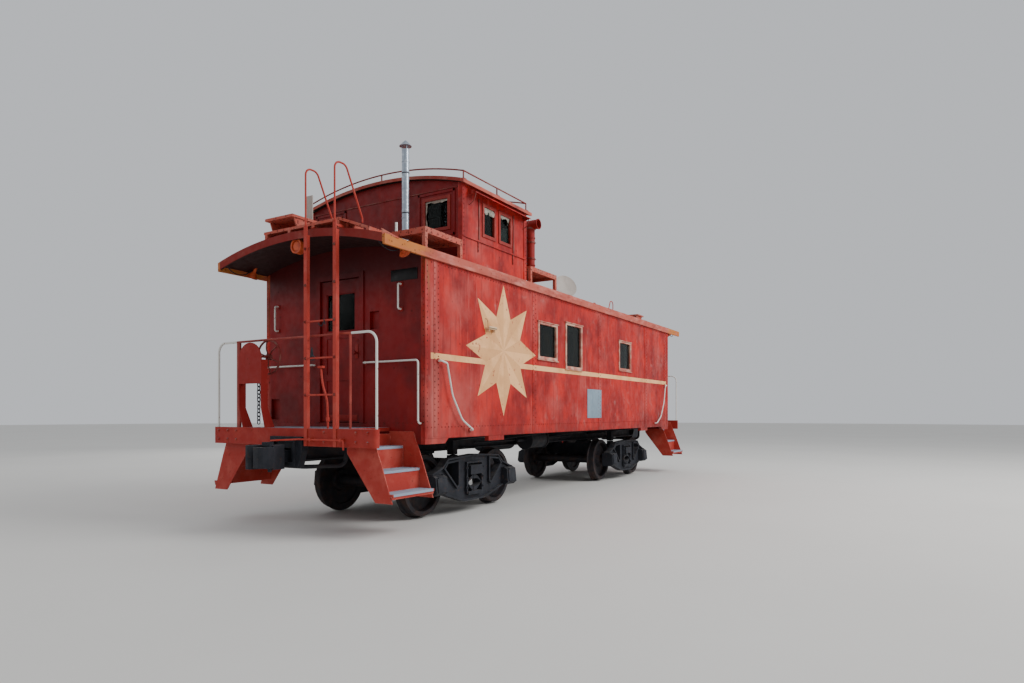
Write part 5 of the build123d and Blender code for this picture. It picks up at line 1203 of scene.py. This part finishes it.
    def cream_ledge(self) -> None:
        """The small cream ledge on two brackets, high on the right side, with its bare hook."""
        x, z, length = self.ledge
        y = -HALF_WIDTH
        parts = [
            Bench.plate((x, y - 0.07, z), (x + length, y, z + 0.022), 0.004),
            Bench.plate((x, y - 0.07, z + 0.006), (x + length, y - 0.062, z + 0.04), 0.003),
        ]
        parts += [Bench.plate((x + at, y - 0.055, z - 0.035), (x + at + 0.01, y, z + 0.002), 0.003)
                  for at in (0.025, length - 0.035)]
        self.fitter.fit("side_ledge", parts, "enamel_cream")
        hook = ((0.01, 0.0, 0.15), (0.01, -0.03, 0.13), (0.012, -0.04, 0.07), (0.02, -0.035, 0.022))
        route = [(x + a, y + b, z + c) for a, b, c in hook]
        self.fitter.fit("side_hook", [Bench.bar(route, 0.003)], "cast_steel_black")


@dataclass
class EndSheets:
    """What is fastened to each end wall: corner angles, rivets, sign plate, door glass and furniture."""

    fitter: Fitter
    wall: float = -HALF_LENGTH
    # Low and high across, low and high in height
    sign: tuple[float, float, float, float] = (-1.307, -0.886, 3.045, 3.185)
    door_window: tuple[float, float, float, float] = (-0.263, 0.247, 2.485, 2.985)
    # How far the sign's face stands out, and how far its screws are from its edges
    sign_thickness: float = 0.008
    sign_rim: float = 0.012
    # The glass and the door's outer face, inwards from the end wall, and the width of the bead
    glass_depth: float = 0.03
    door_depth: float = 0.012
    bead: float = 0.014
    # Across and up of the grab rails' ends on the end wall, then along and up of those on a side
    rail_ends: tuple[tuple[float, float], ...] = (
        (-0.463, 2.055), (-1.362, 1.29), (0.447, 2.055), (1.362, 1.29), (-1.05, 2.695), (-1.05, 3.005),
        (1.18, 2.56), (1.18, 2.9),
    )
    side_rail_ends: tuple[tuple[float, float], ...] = ((4.322, 2.06), (3.632, 1.19))
    # Radius and thickness of a rail's round flange
    flange: tuple[float, float] = (0.032, 0.008)
    pitch: float = 0.075
    # Start and length of the upright rows of rivets, then start, height and count of the row at the foot
    upright_row: tuple[float, float] = (1.3, 1.9)
    foot_row: tuple[float, float, int] = (0.47, 1.29, 11)

    def build(self) -> None:
        """Make the pieces of both ends."""
        self.sign_plate()
        self.door_glass()
        self.corner_angles()
        self.wall_rivets()
        self.rail_feet()
        self.door_fittings()

    def sign_plate(self) -> None:
        """The black sign plate on the rear end, left blank, on four screws."""
        y0, y1, z0, z1 = self.sign
        face = self.wall - self.sign_thickness
        plate = Bench.plate((face, y0, z0), (self.wall, y1, z1), 0.003)
        self.fitter.fit("sign_plate", [plate], "enamel_black")
        rim = self.sign_rim
        places = [((face, y, z), BACKWARD) for y in (y0 + rim, y1 - rim) for z in (z0 + rim, z1 - rim)]
        self.fitter.stud("sign_screws", places, (0.006, 0.003), "cast_steel_black")

    def door_glass(self) -> None:
        """The glass of each door with the bead that holds it, riding on its door."""
        y0, y1, z0, z1 = self.door_window
        x = self.wall + self.glass_depth
        glass = Bench.plate((x, y0, z0), (x + 0.006, y1, z1), 0.001)
        self.fitter.fit_ends("door_glass", [glass], "window_glass", "door")
        beads = Bench.boards(self.door_window, (x - 0.012, x), self.bead, self.bead)
        self.fitter.fit_ends("door_bead", beads, "enamel_end", "door")

    def corner_angles(self) -> None:
        """Angle strips that close the corners of each end wall."""
        strips = [Bench.plate((self.wall - 0.005, side * (HALF_WIDTH - 0.045), 1.12),
                              (self.wall, side * (HALF_WIDTH + 0.004), SIDE_TOP), 0.002) for side in (-1, 1)]
        self.fitter.fit_ends("end_corners", strips, "enamel_side")

    def rail_feet(self) -> None:
        """Round flanges with two bolts where each grab rail meets its wall."""
        feet = [self.foot((self.wall, y, z), BACKWARD) for y, z in self.rail_ends]
        face = self.wall - self.flange[1]
        places = [((face, y + off, z - off), BACKWARD) for y, z in self.rail_ends for off in (-0.02, 0.02)]
        nuts = Bench.spread(Bench.bolt(0.007, 0.006), places)
        self.fitter.fit_ends("rail_feet", feet, "enamel_stand")
        self.fitter.fit_ends("rail_nuts", [nuts], "enamel_stand")
        feet = [self.foot((end * x, side * (HALF_WIDTH + 0.004), z), outward(side))
                for side in (-1, 1) for end in (-1, 1) for x, z in self.side_rail_ends]
        self.fitter.fit("side_rail_feet", feet, "enamel_stand")

    def foot(self, place: Point, way: Point) -> Piece:
        """One round flange standing on a wall.

        Args:
            place: its middle on the wall.
            way: the way out of the wall.

        Returns:
            The flange.
        """
        radius, height = self.flange
        disc = Bench.start(bpy.ops.mesh.primitive_cylinder_add, vertices=24, radius=radius, depth=height,
                           location=(0.0, 0.0, height / 2.0))
        Bench.modify(Bench.settle(disc), "BEVEL", width=0.002, segments=2, limit_method="ANGLE")
        disc.matrix_world = Bench.stand(place, way)
        return Bench.settle(disc)

    def door_fittings(self) -> None:
        """Kick plate, latch plate and hasp of each door, riding on it."""
        x = self.wall + self.door_depth
        face = x - 0.003
        places = [((face, y, z), BACKWARD) for y in (-0.285, -0.1, 0.09, 0.27) for z in (1.33, 1.378)]
        hasp = ((-0.006, -0.335), (-0.022, -0.335), (-0.022, -0.29), (-0.006, -0.29))
        parts = [
            Bench.plate((face, -0.30, 1.315), (x, 0.285, 1.392), 0.001),
            Bench.plate((x - 0.005, -0.325, 2.12), (x, -0.265, 2.3), 0.002),
            Bench.bar([(x + out, y, 2.36) for out, y in hasp], 0.004),
            Bench.spread(Bench.rivet(0.006, 0.003), places),
        ]
        self.fitter.fit_ends("door_fittings", parts, "enamel_stand", "door")

    def wall_rivets(self) -> None:
        """A row of rivets down each corner and along the foot of each end wall."""
        pitch = self.pitch
        low, length = self.upright_row
        start, height, count = self.foot_row
        places = [((self.wall - 0.005, side * (HALF_WIDTH - 0.022), low + k * pitch), BACKWARD)
                  for side in (-1, 1) for k in range(round(length / pitch) + 1)]
        places += [((self.wall, side * (start + k * pitch), height), BACKWARD)
                   for side in (-1, 1) for k in range(count)]
        rivets = Bench.spread(Bench.rivet(0.009, 0.004), places)
        self.fitter.fit_ends("end_rivets", [rivets], "enamel_rivet_heads")


@dataclass
class Platforms:
    """Small pieces of the platforms: bolts, rung stubs, brake chain and plates."""

    fitter: Fitter
    sill_bolt_rows: tuple[float, ...] = (-1.3, -1.12, -0.62, 0.95, 1.12, 1.3)
    sill_bolt_heights: tuple[float, float] = (1.08, 1.19)
    stiles: tuple[float, float] = (-0.8, -0.326)
    rungs: tuple[float, float, float] = (1.625, 2.055, 2.485)
    stubs: tuple[float, float] = (2.915, 3.345)
    ladder_x: float = -5.438
    chain_place: tuple[float, float] = (-5.446, 0.497)
    chain_span: tuple[float, float] = (1.27, 1.83)
    link_length: float = 0.07
    link_radius: float = 0.019
    link_wire: float = 0.006

    def build(self) -> None:
        """Make the pieces of both platforms."""
        fit_ends = self.fitter.fit_ends
        fit_ends("sill_bolts", [self.sill_bolts()], "enamel_platform")
        fit_ends("rung_stubs", [self.rung_stubs()], "enamel_dark_ironwork")
        fit_ends("brake_chain", [self.chain()], "cast_steel_black")
        fit_ends("valve_pipe", self.valve_pipe(), "enamel_ironwork")
        fit_ends("rung_hooks", self.rung_hooks(), "cast_steel_black")

    def sill_bolts(self) -> Piece:
        """Bolts through the end sill and the ends of the railing's posts.

        Returns:
            The bolts as one mesh.
        """
        places = [((-PLATFORM_END, y, z), BACKWARD)
                  for y in self.sill_bolt_rows for z in self.sill_bolt_heights]
        return Bench.spread(Bench.bolt(0.015, 0.012), places, random.Random(3))

    def rung_stubs(self) -> Piece:
        """Stubs of the two rungs that are missing, and the bolts of the three that are left.

        Returns:
            The stubs and bolts as one mesh.
        """
        places = [((self.ladder_x - 0.006, y, z), BACKWARD)
                  for y in self.stiles for z in self.stubs + self.rungs]
        return Bench.spread(Bench.bolt(0.013, 0.014), places, random.Random(4))

    def rung_hooks(self) -> list[Piece]:
        """A bent hook left on the top rung and a shackle on the one below.

        Returns:
            The hook, and the shackle's ring and tongue.
        """
        x = self.ladder_x
        _, middle, top = self.rungs
        # Along the car from the ladder, across it, and up from the rung
        hook = ((-0.012, -0.66, -0.05), (-0.016, -0.64, 0.012), (0.012, -0.62, 0.014),
                (0.014, -0.6, -0.03), (0.006, -0.575, -0.075), (-0.01, -0.545, -0.03))
        ring = ((-0.47, 0.022), (-0.44, 0.03), (-0.4, 0.015), (-0.41, -0.02), (-0.46, -0.022), (-0.48, 0.0))
        tongue = Bench.plate((x - 0.004, -0.455, middle + 0.02), (x + 0.004, -0.405, middle + 0.13), 0.003)
        for vertex in tongue.data.vertices:
            vertex.co.y = -0.43 + (vertex.co.y + 0.43) * (1.3 - (vertex.co.z - middle) / 0.12)
        return [Bench.bar([(x + out, y, top + up) for out, y, up in hook], 0.006),
                Bench.bar([(x, y, middle + up) for y, up in ring], 0.007, closed=True), tongue]

    def valve_pipe(self) -> list[Piece]:
        """The bent air pipe that stands behind the railing, with a union near its foot.

        Returns:
            The pipe, its union and its cock.
        """
        route = ((-5.37, -0.62, PLATFORM_TOP), (-5.37, -0.62, 1.5), (-5.36, -0.58, 1.62),
                 (-5.35, -0.5, 1.78), (-5.35, -0.49, 1.94))
        return [Bench.bar(route, 0.013), Bench.collar((-5.37, -0.62, 1.34), 0.012, 0.05, 0.008),
                Bench.plate((-5.375, -0.53, 1.94), (-5.325, -0.45, 1.97), 0.008)]

    def chain(self) -> Piece:
        """The hand brake's chain: links made once and turned by a quarter from one to the next.

        Returns:
            The chain as one mesh.
        """
        half = self.link_length / 2.0
        link = Bench.settle(Bench.start(bpy.ops.mesh.primitive_torus_add, major_radius=self.link_radius,
                                        minor_radius=self.link_wire, major_segments=16, minor_segments=8,
                                        rotation=UPRIGHT))
        for vertex in link.data.vertices:
            vertex.co.z += math.copysign(half - self.link_radius - self.link_wire, vertex.co.z)
        low, high = self.chain_span
        pitch = self.link_length - 4.0 * self.link_wire
        copies = []
        for k in range(int((high - low) / pitch)):
            turn = math.pi / 2.0 * (k % 2) + 0.15 * math.sin(2.1 * k)
            place = Matrix.Translation((*self.chain_place, low + half + k * pitch))
            copies.append(Bench.copied(link, place @ Matrix.Rotation(turn, 4, "Z")))
        bpy.data.objects.remove(link)
        return Bench.settle(Bench.joined(copies))


@dataclass
class RoofSheets:
    """What is fastened to the roofs: cover strips, eave bolts, pipe bands and the cupola's trim."""

    fitter: Fitter
    strip_width: float = 0.07
    strip_thickness: float = 0.006
    seams: tuple[float, ...] = (-4.6, -1.882, -0.65, 0.588, 1.82, 3.058, 4.6)
    # Gaps between the eave's bolts, their height and how much every second one stands higher
    eave_bolt_gaps: int = 40
    eave_bolt_height: float = 3.345
    eave_bolt_step: float = 0.012
    stovepipe: tuple[float, float] = (-4.172, -0.78)
    stovepipe_radius: float = 0.047
    pipe_joints: tuple[float, float] = (4.015, 4.537)
    # Distance apart, distance across and height of the side walks' bolts, and how far in they start
    walk_bolts_at: tuple[float, float, float, float] = (0.11, 1.45, 3.6, 0.03)
    # Start and end along the car of the side walks' edges
    walk_edges: tuple[tuple[float, float], ...] = ((-4.607, -3.837), (-2.047, -1.187))
    smoke_jack: tuple[float, float] = (-1.642, -1.22)
    smoke_jack_radius: float = 0.068
    jack_rings: tuple[float, float, float] = (3.86, 4.12, 4.34)
    ring_thickness: float = 0.008
    battens: tuple[float, float] = (-3.385, -2.478)
    # Low and high across and in height of an end window's casing, and the width of its boards
    casing_box: tuple[float, float, float, float] = (0.67, 1.29, 3.765, 4.375)
    casing_board: float = 0.035
    trim: float = 0.012
    # Fifteen rivets up each of the cupola's corners
    cupola_rows: tuple[float, ...] = tuple(3.50 + 0.06 * k for k in range(15))

    def build(self) -> None:
        """Make the pieces of both roofs."""
        self.cover_strips()
        self.eave_bolts()
        self.pipe_bands()
        self.cupola_trim()
        self.sealing()
        self.walk_bolts()
        self.bent_tips()
        self.lamp_conduits()

    def cover_strips(self) -> None:
        """Strips over the joints of the roof sheets, spun round the arch, with rivets on both edges."""
        rise = ROOF_CROWN - EAVE_HEIGHT
        radius = (EAVE_HALF_WIDTH ** 2 + rise ** 2) / (2.0 * rise)
        centre = ROOF_CROWN - radius
        reach = math.asin(EAVE_HALF_WIDTH / radius) - 0.004
        row = self.strip_width / 2.0 - 0.015
        top = radius + self.strip_thickness - 0.001
        strips = []
        places = []
        for x in self.seams:
            strips.append(self.cover_strip(x, centre, reach))
            for k in range(-12, 13):
                angle = k * reach / 12.5
                way = (0.0, math.sin(angle), math.cos(angle))
                places += [((x + offset, top * way[1], centre + top * way[2]), way) for offset in (-row, row)]
        self.fitter.fit("roof_strips", strips, "enamel_roof")
        self.fitter.stud("roof_rivets", places, (0.008, 0.004), "enamel_roof")

    def cover_strip(self, x: float, centre: float, reach: float) -> Piece:
        """One strip: its section stood on the crown, turned to one eave and spun to the other.

        Args:
            x: the strip's middle along the car.
            centre: height of the arch's centre.
            reach: angle from the crown to the strip's end.

        Returns:
            The strip.
        """
        strip = Bench.start(bpy.ops.mesh.primitive_plane_add, size=1.0)
        strip.scale = (self.strip_width, self.strip_thickness, 1.0)
        strip.rotation_euler = UPRIGHT
        strip.location = (x, 0.0, ROOF_CROWN + self.strip_thickness / 2.0 - 0.001)
        Bench.settle(strip)
        bpy.ops.object.mode_set(mode="EDIT")
        bpy.ops.mesh.select_all(action="SELECT")
        bpy.ops.transform.rotate(value=-reach, orient_axis="X", center_override=(x, 0.0, centre))
        bpy.ops.mesh.spin(steps=24, angle=2.0 * reach, center=(x, 0.0, centre), axis=(1.0, 0.0, 0.0))
        bpy.ops.mesh.select_all(action="SELECT")
        bpy.ops.mesh.normals_make_consistent(inside=False)
        bpy.ops.object.mode_set(mode="OBJECT")
        return strip

    def eave_bolts(self) -> None:
        """Bolt heads along the band under each eave, up and down by turns."""
        first = -ROOF_END + 0.08
        gap = -2.0 * first / self.eave_bolt_gaps
        spots = [(first + k * gap, self.eave_bolt_height + self.eave_bolt_step * (k % 2))
                 for k in range(self.eave_bolt_gaps + 1)]
        places = [((x, side * EAVE_HALF_WIDTH, z), outward(side)) for side in (-1, 1) for x, z in spots]
        self.fitter.stud("eave_bolts", places, (0.012, 0.006), "enamel_roof")

    def pipe_bands(self) -> None:
        """Joint bands on the stovepipe, clamps on the smoke jack, and a flashing round each foot."""
        pipe, radius = self.stovepipe, self.stovepipe_radius
        bands = [Bench.collar((*pipe, z), radius, 0.012, 0.003) for z in self.pipe_joints]
        self.fitter.fit("stovepipe_bands", bands, "cast_steel_black")
        sleeves = [Bench.collar((*pipe, z + 0.03), radius, 0.048, 0.0015) for z in self.pipe_joints]
        sleeves.append(Bench.collar((*pipe, 3.566), radius + 0.002, 0.05, 0.03))
        self.fitter.fit("stovepipe_sleeves", sleeves, "galvanised_sheet")
        x, y = self.smoke_jack
        radius = self.smoke_jack_radius
        rings = [Bench.collar((x, y, z), radius, 0.03, self.ring_thickness) for z in self.jack_rings]
        face = radius + self.ring_thickness
        ways = [(math.cos(turn), math.sin(turn), 0.0) for turn in (0.6, 2.2, 3.8, 5.4)]
        places = [((x + face * way[0], y + face * way[1], z), way) for z in self.jack_rings for way in ways]
        rings.append(Bench.spread(Bench.bolt(0.008, 0.008), places))
        self.fitter.fit("smoke_jack_rings", rings, "enamel_dark_ironwork")

    def cupola_trim(self) -> None:
        """Casings, battens, straps, rods and rivets of the cupola."""
        x0, x1 = CUPOLA_X
        wall = CUPOLA_HALF_WIDTH
        y0, y1, z0, z1 = self.casing_box
        casings = []
        irons = []
        places = []
        for side in (-1, 1):
            face = side * (wall + self.trim)
            for x in self.battens:
                irons.append(Bench.plate((x - 0.014, side * wall, 3.735), (x + 0.014, face, 4.31), 0.002))
                irons.append(Bench.plate((x - 0.03, side * wall, 3.59), (x - 0.012, face, 3.735), 0.002))
                places += [((x - 0.021, face, z), outward(side)) for z in (3.61, 3.66, 3.71)]
            irons.append(Bench.plate((x0 + 0.05, side * wall, 3.728), (x1 - 0.05, face, 3.742), 0.003))
            for x in (x0 + 0.16, x1 - 0.09):
                rod = ((0.0, 4.18), (0.05, 4.2), (0.1, 4.26), (0.105, 4.315))
                irons.append(Bench.bar([(x, side * (wall + out), z) for out, z in rod], 0.005))
            places += [((x, side * (wall + 0.018), z), outward(side)) for x in (x0 + 0.02, x1 - 0.02)
                       for z in self.cupola_rows]
        for x, way in ((x0, -1.0), (x1, 1.0)):
            irons.append(Bench.plate((x, -1.33, 4.385), (x + way * 0.01, 1.33, 4.397), 0.002))
            places += [((x, y, z), (way, 0.0, 0.0)) for y in (-1.36, -1.31, 1.31, 1.36)
                       for z in self.cupola_rows]
            for side in (-1, 1):
                casings += Bench.boards((side * y0, side * y1, z0, z1), (x, x + way * self.trim),
                                        self.casing_board)
        self.fitter.fit("cupola_casings", casings, "enamel_cupola_end")
        self.fitter.fit("cupola_ironwork", irons, "enamel_dark_ironwork")
        self.fitter.stud("cupola_rivets", places, (0.008, 0.004), "enamel_rivet_heads")

    def walk_bolts(self) -> None:
        """Bolt heads on the outer edges of the side walks."""
        places = []
        gap, y, z, inset = self.walk_bolts_at
        for x0, x1 in self.walk_edges:
            count = round((x1 - x0) / gap)
            for k in range(count + 1):
                x = x0 + inset + k * (x1 - x0 - 2.0 * inset) / count
                places += [((x, side * y, z), outward(side)) for side in (-1, 1)]
        self.fitter.stud("walk_bolts", places, (0.009, 0.005), "enamel_rivet_heads")

    def bent_tips(self) -> None:
        """The eave band's torn tips, bent up above the roof's corners at the rear right and front left."""
        tip = Bench.plate((-5.345, -1.474, 3.395), (-5.1, -1.462, 3.455), 0.002)
        for vertex in tip.data.vertices:
            share = (vertex.co.x + 5.345) / 0.245
            vertex.co.z -= max(0.0, vertex.co.z - 3.4) * share
            vertex.co.y += 0.03 * (1.0 - share)
            vertex.co.x -= 0.02 * (vertex.co.z - 3.395) / 0.06
        self.fitter.fit_ends("eave_tip", [tip], "enamel_walkway")

    def lamp_conduits(self) -> None:
        """Bent steel conduit from the end's fascia to each eave lamp."""
        route = ((-5.3, 1.32, 3.372), (-5.24, 1.33, 3.3), (-5.1, 1.34, 3.27), (-4.98, 1.34, 3.3),
                 (-4.9, 1.34, 3.36))
        pipes = [Bench.bar([(x, side * y, z) for x, y, z in route], 0.006) for side in (-1, 1)]
        self.fitter.fit_ends("lamp_conduit", pipes, "cast_steel_black")

    def sealing(self) -> None:
        """Grey-white sealing tape that has come loose round the cupola's windows."""
        x = CUPOLA_X[0] + 0.004
        top = Matrix(((0, -1, 0, x), (1, 0, 0, -0.98), (0, 0, 1, 4.262), (0, 0, 0, 1)))
        edge = Matrix(((0, 1, 0, x), (0, 0, 1, -0.796), (1, 0, 0, 4.08), (0, 0, 0, 1)))
        # Seed, length, depth and place of each strip
        rows = [(3 * k + side + 2, length, 0.12, Matrix.Translation((at, side * 1.395, 4.242)))
                for k, (at, length) in enumerate(((-3.137, 0.25), (-2.711, 0.27))) for side in (-1, 1)]
        strips = []
        for seed, length, depth, place in (*rows, (11, 0.37, 0.05, top), (12, 0.36, 0.035, edge)):
            strip = Bench.torn_strip(length, depth, seed)
            strip.matrix_world = place
            strips.append(Bench.settle(strip))
        self.fitter.fit("cupola_sealing_tape", strips, "sealing_tape")


@dataclass
class Trucks:
    """Journal box lids, hinges and nuts on the trucks' side frames."""

    fitter: Fitter
    truck_x: float = 2.952
    half_base: float = 0.889
    axle_height: float = 0.444
    lid_half: float = 0.098
    lid_height: tuple[float, float] = (-0.075, 0.108)
    lid_thickness: float = 0.014
    rib_rise: float = 0.008
    # Distance across of a journal box's face at the lid's foot and at its top
    box_face: tuple[float, float] = (1.135, 1.114)
    # Along and across from the axle of the nuts on a box, and their height over the axle
    box_nuts: tuple[Point, ...] = (
        (-0.1, 1.0, 0.14), (-0.1, 1.055, 0.14), (0.1, 1.0, 0.14), (0.1, 1.055, 0.14),
    )
    # Along from the truck's middle, distance across and heights of the nuts beside the frame's window
    window_nuts: tuple[tuple[float, float], float, Point] = ((-0.2, 0.2), 1.045, (0.36, 0.50, 0.64))

    def build(self) -> None:
        """Make the pieces of both trucks."""
        shifts, frame_face, heights = self.window_nuts
        for end, way in (("rear", -1), ("front", 1)):
            middle = way * self.truck_x
            lids = []
            places = []
            for side in (-1, 1):
                for x in (middle - self.half_base, middle + self.half_base):
                    lids += self.lid(x, side)
                    places += [((x + along, side * across, self.axle_height + up), UPWARD)
                               for along, across, up in self.box_nuts]
                places += [((middle + along, side * frame_face, z), outward(side))
                           for along in shifts for z in heights]
            self.fitter.fit(f"journal_lids_{end}", lids, "cast_steel_black", f"truck_{end}")
            nuts = Bench.spread(Bench.bolt(0.016, 0.014), places, random.Random(5))
            self.fitter.fit(f"truck_nuts_{end}", [nuts], "cast_steel_black", f"truck_{end}")

    def lid(self, x: float, side: int) -> list[Piece]:
        """The sloped lid of one journal box with its rib and its hinge pin.

        Args:
            x: place of the axle.
            side: -1 for the right side and 1 for the left.

        Returns:
            The lid's pieces.
        """
        low, high = (self.axle_height + z for z in self.lid_height)
        bottom_y, top_y = self.box_face
        face = sorted((side * bottom_y, side * (bottom_y + self.lid_thickness)))
        plate = Bench.plate((x - self.lid_half, face[0], low), (x + self.lid_half, face[1], high), 0.005)
        rib_face = face[1] + side * self.rib_rise
        rib = Bench.plate((x - 0.012, face[0], low + 0.02), (x + 0.012, rib_face, high - 0.02), 0.004)
        for piece in (plate, rib):
            for vertex in piece.data.vertices:
                share = (vertex.co.z - low) / (high - low)
                vertex.co.y -= side * share * (bottom_y - top_y)
        pin = [(x + along, side * (top_y + 0.01), high + 0.004) for along in (-0.08, 0.08)]
        return [plate, rib, Bench.bar(pin, 0.011, smooth=False)]


@dataclass
class Underframe:
    """Brake pipe and rods under the floor."""

    fitter: Fitter
    pipe: tuple[float, float] = (0.29, 0.985)
    pipe_radius: float = 0.019
    pipe_sag: float = 0.012
    union_radius: float = 0.028
    rod_radius: float = 0.011
    rod: tuple[float, float] = (-0.31, 0.93)

    def build(self) -> None:
        """Make the pipe with its unions and hangers, and the brake rods."""
        y, z = self.pipe
        sag = z - self.pipe_sag
        route = ((-4.8, y, z), (-1.6, y, z), (-1.2, y, sag), (1.2, y, sag), (1.6, y, z), (4.8, y, z))
        parts = [Bench.bar(route, self.pipe_radius)]
        for x, height in ((-3.9, z), (-2.0, z), (0.0, sag), (2.0, z), (3.9, z)):
            union = ((x - 0.04, y, height), (x + 0.04, y, height))
            parts.append(Bench.bar(union, self.union_radius, smooth=False))
            parts.append(Bench.plate((x + 0.08, y - 0.006, z + 0.01), (x + 0.1, y + 0.006, 1.19), 0.002))
        y, z = self.rod
        parts += [Bench.bar(((way * 0.6, y, z), (way * 1.8, y * 0.8, z)), self.rod_radius, smooth=False)
                  for way in (-1, 1)]
        self.fitter.fit("brake_pipe", parts, "underframe_paint")


@dataclass
class Curtains:
    """Gathered curtains behind the side windows, each a wavy sheet."""

    fitter: Fitter
    # Middle along the car, hung width, cut width, top, drop and finish of each curtain
    hung: tuple[tuple[float, float, float, float, float, str], ...] = (
        (-1.30, 0.22, 0.32, 2.87, 0.60, "cotton_brown"),
        (-1.69, 0.10, 0.15, 2.87, 0.60, "cotton_grey"),
        (-0.68, 0.24, 0.35, 2.96, 0.78, "cotton_grey"),
        (-0.26, 0.14, 0.205, 2.96, 0.78, "cotton_brown"),
        (1.66, 0.22, 0.32, 2.87, 0.60, "cotton_brown"),
        (2.10, 0.12, 0.175, 2.87, 0.60, "cotton_grey"),
    )
    fold: float = 0.045
    depth: float = 0.014
    wall: float = 1.325
    # Edges flatter than this many degrees are shaded as one soft fold
    soft_angle: float = 80.0

    def build(self) -> None:
        """Make the curtains of both sides."""
        for side, name in SIDES:
            for k, (x, width, cut, top, drop, finish) in enumerate(self.hung):
                self.curtain(f"curtain_{name}_{k + 1}", (x, side, top), width, (cut, drop), finish)

    def curtain(
        self, name: str, place: tuple[float, int, float], width: float, flat: tuple[float, float], finish: str
    ) -> None:
        """One curtain, folded tighter at its top.

        Args:
            name: the piece's name.
            place: its middle along the car, its side (-1 is the right) and the height of its top.
            width: its hung width.
            flat: the width and length it was cut to.
            finish: the finish's name.
        """
        x, side, top = place
        sheet = Bench.settle(Bench.start(bpy.ops.mesh.primitive_grid_add, x_subdivisions=60,
                                         y_subdivisions=14, size=1.0, rotation=UPRIGHT))
        for vertex in sheet.data.vertices:
            down = 0.5 - vertex.co.z
            across = vertex.co.x * width
            wave = math.sin(2.0 * math.pi * across / self.fold + 0.6 * math.sin(3.0 * down))
            y = self.wall - self.depth * (0.6 + 0.4 * down) * wave
            vertex.co = (x + across, side * y, top - down * flat[1])
        self.fitter.fit(name, [sheet], finish, angle=self.soft_angle)


@dataclass
class Studio:
    """Pale floor, soft lights and the camera."""

    floor_radius: float = 90.0
    # Name, place, target, length of a side and watts of each light
    lights: tuple[tuple[str, Point, Point, float, float], ...] = (
        ("key", (2.0, -16.0, 13.0), (0.0, 0.0, 2.0), 10.0, 3000.0),
        ("fill", (-14.0, 10.0, 9.0), (-2.0, 0.0, 2.0), 9.0, 120.0),
        ("back", (9.0, 14.0, 8.0), (0.0, 0.0, 2.0), 9.0, 500.0),
    )
    camera_place: Point = (-11.0, -6.52, 1.415)
    camera_yaw: float = 31.1
    focal_px: float = 676.0
    frame_px: tuple[int, int] = (1024, 683)
    horizon_px: float = 413.0
    sensor_mm: float = 36.0
    sky: str = "#E4E7EC"
    sky_strength: float = 0.8

    def build(self) -> None:
        """Make the floor, the lights and the camera."""
        self.floor()
        for row in self.lights:
            self.light(*row)
        world = bpy.data.worlds.new("studio")
        world.use_nodes = True
        background = world.node_tree.nodes["Background"]
        background.inputs[0].default_value = linear(self.sky)
        background.inputs[1].default_value = self.sky_strength
        bpy.context.scene.world = world
        self.camera()

    def floor(self) -> None:
        """A round pale floor whose edge is too far away to see."""
        floor = Bench.start(bpy.ops.mesh.primitive_circle_add, vertices=96, radius=self.floor_radius,
                            fill_type="NGON")
        floor.name = "studio_floor"
        # Matt floor paint, faintly patchy
        surface = Surface("studio_floor_paint")
        patches = surface.mask(Coat("", 4000, (0.4, 0.65), 0.5))
        shown = surface.lay((linear("#D9D7D2"), None), linear("#D2D0CB"), patches)
        floor.data.materials.append(surface.finish(Base_Color=shown[0], Roughness=0.9))

    def light(self, name: str, place: Point, target: Point, size: float, power: float) -> None:
        """Add one soft square light that looks at a point.

        Args:
            name: the light's name.
            place: where it stands.
            target: what it looks at.
            size: length of its side.
            power: watts.
        """
        lamp = bpy.data.lights.new(name, "AREA")
        lamp.size = size
        lamp.energy = power
        stand = bpy.data.objects.new(name, lamp)
        stand.location = place
        stand.rotation_euler = (Vector(place) - Vector(target)).to_track_quat("Z", "Y").to_euler()
        bpy.context.scene.collection.objects.link(stand)

    def camera(self) -> None:
        """Stand the camera where the photograph was taken from, level, with a raised frame."""
        width, height = self.frame_px
        lens = bpy.data.cameras.new("photo_camera")
        lens.sensor_width = self.sensor_mm
        lens.lens = self.focal_px / width * self.sensor_mm
        lens.shift_y = (self.horizon_px - height / 2.0) / width
        lens.clip_end = 500.0
        camera = bpy.data.objects.new("photo_camera", lens)
        camera.location = self.camera_place
        camera.rotation_euler = (math.radians(90.0), 0.0, math.radians(self.camera_yaw - 90.0))
        bpy.context.scene.collection.objects.link(camera)
        bpy.context.scene.camera = camera


def main() -> None:
    """Load the frame, dress it and build round it."""
    logging.basicConfig(level=logging.INFO, format="%(message)s")
    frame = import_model()
    finishes = {finish.name: finish.material() for finish in FINISHES}
    dress_frame(frame["nodes"], finishes)
    fitter = Fitter(finishes)
    for group in (SideSheets, EndSheets, Platforms, RoofSheets, Trucks, Underframe, Curtains):
        group(fitter).build()
    Studio().build()


if __name__ == "__main__":
    main()
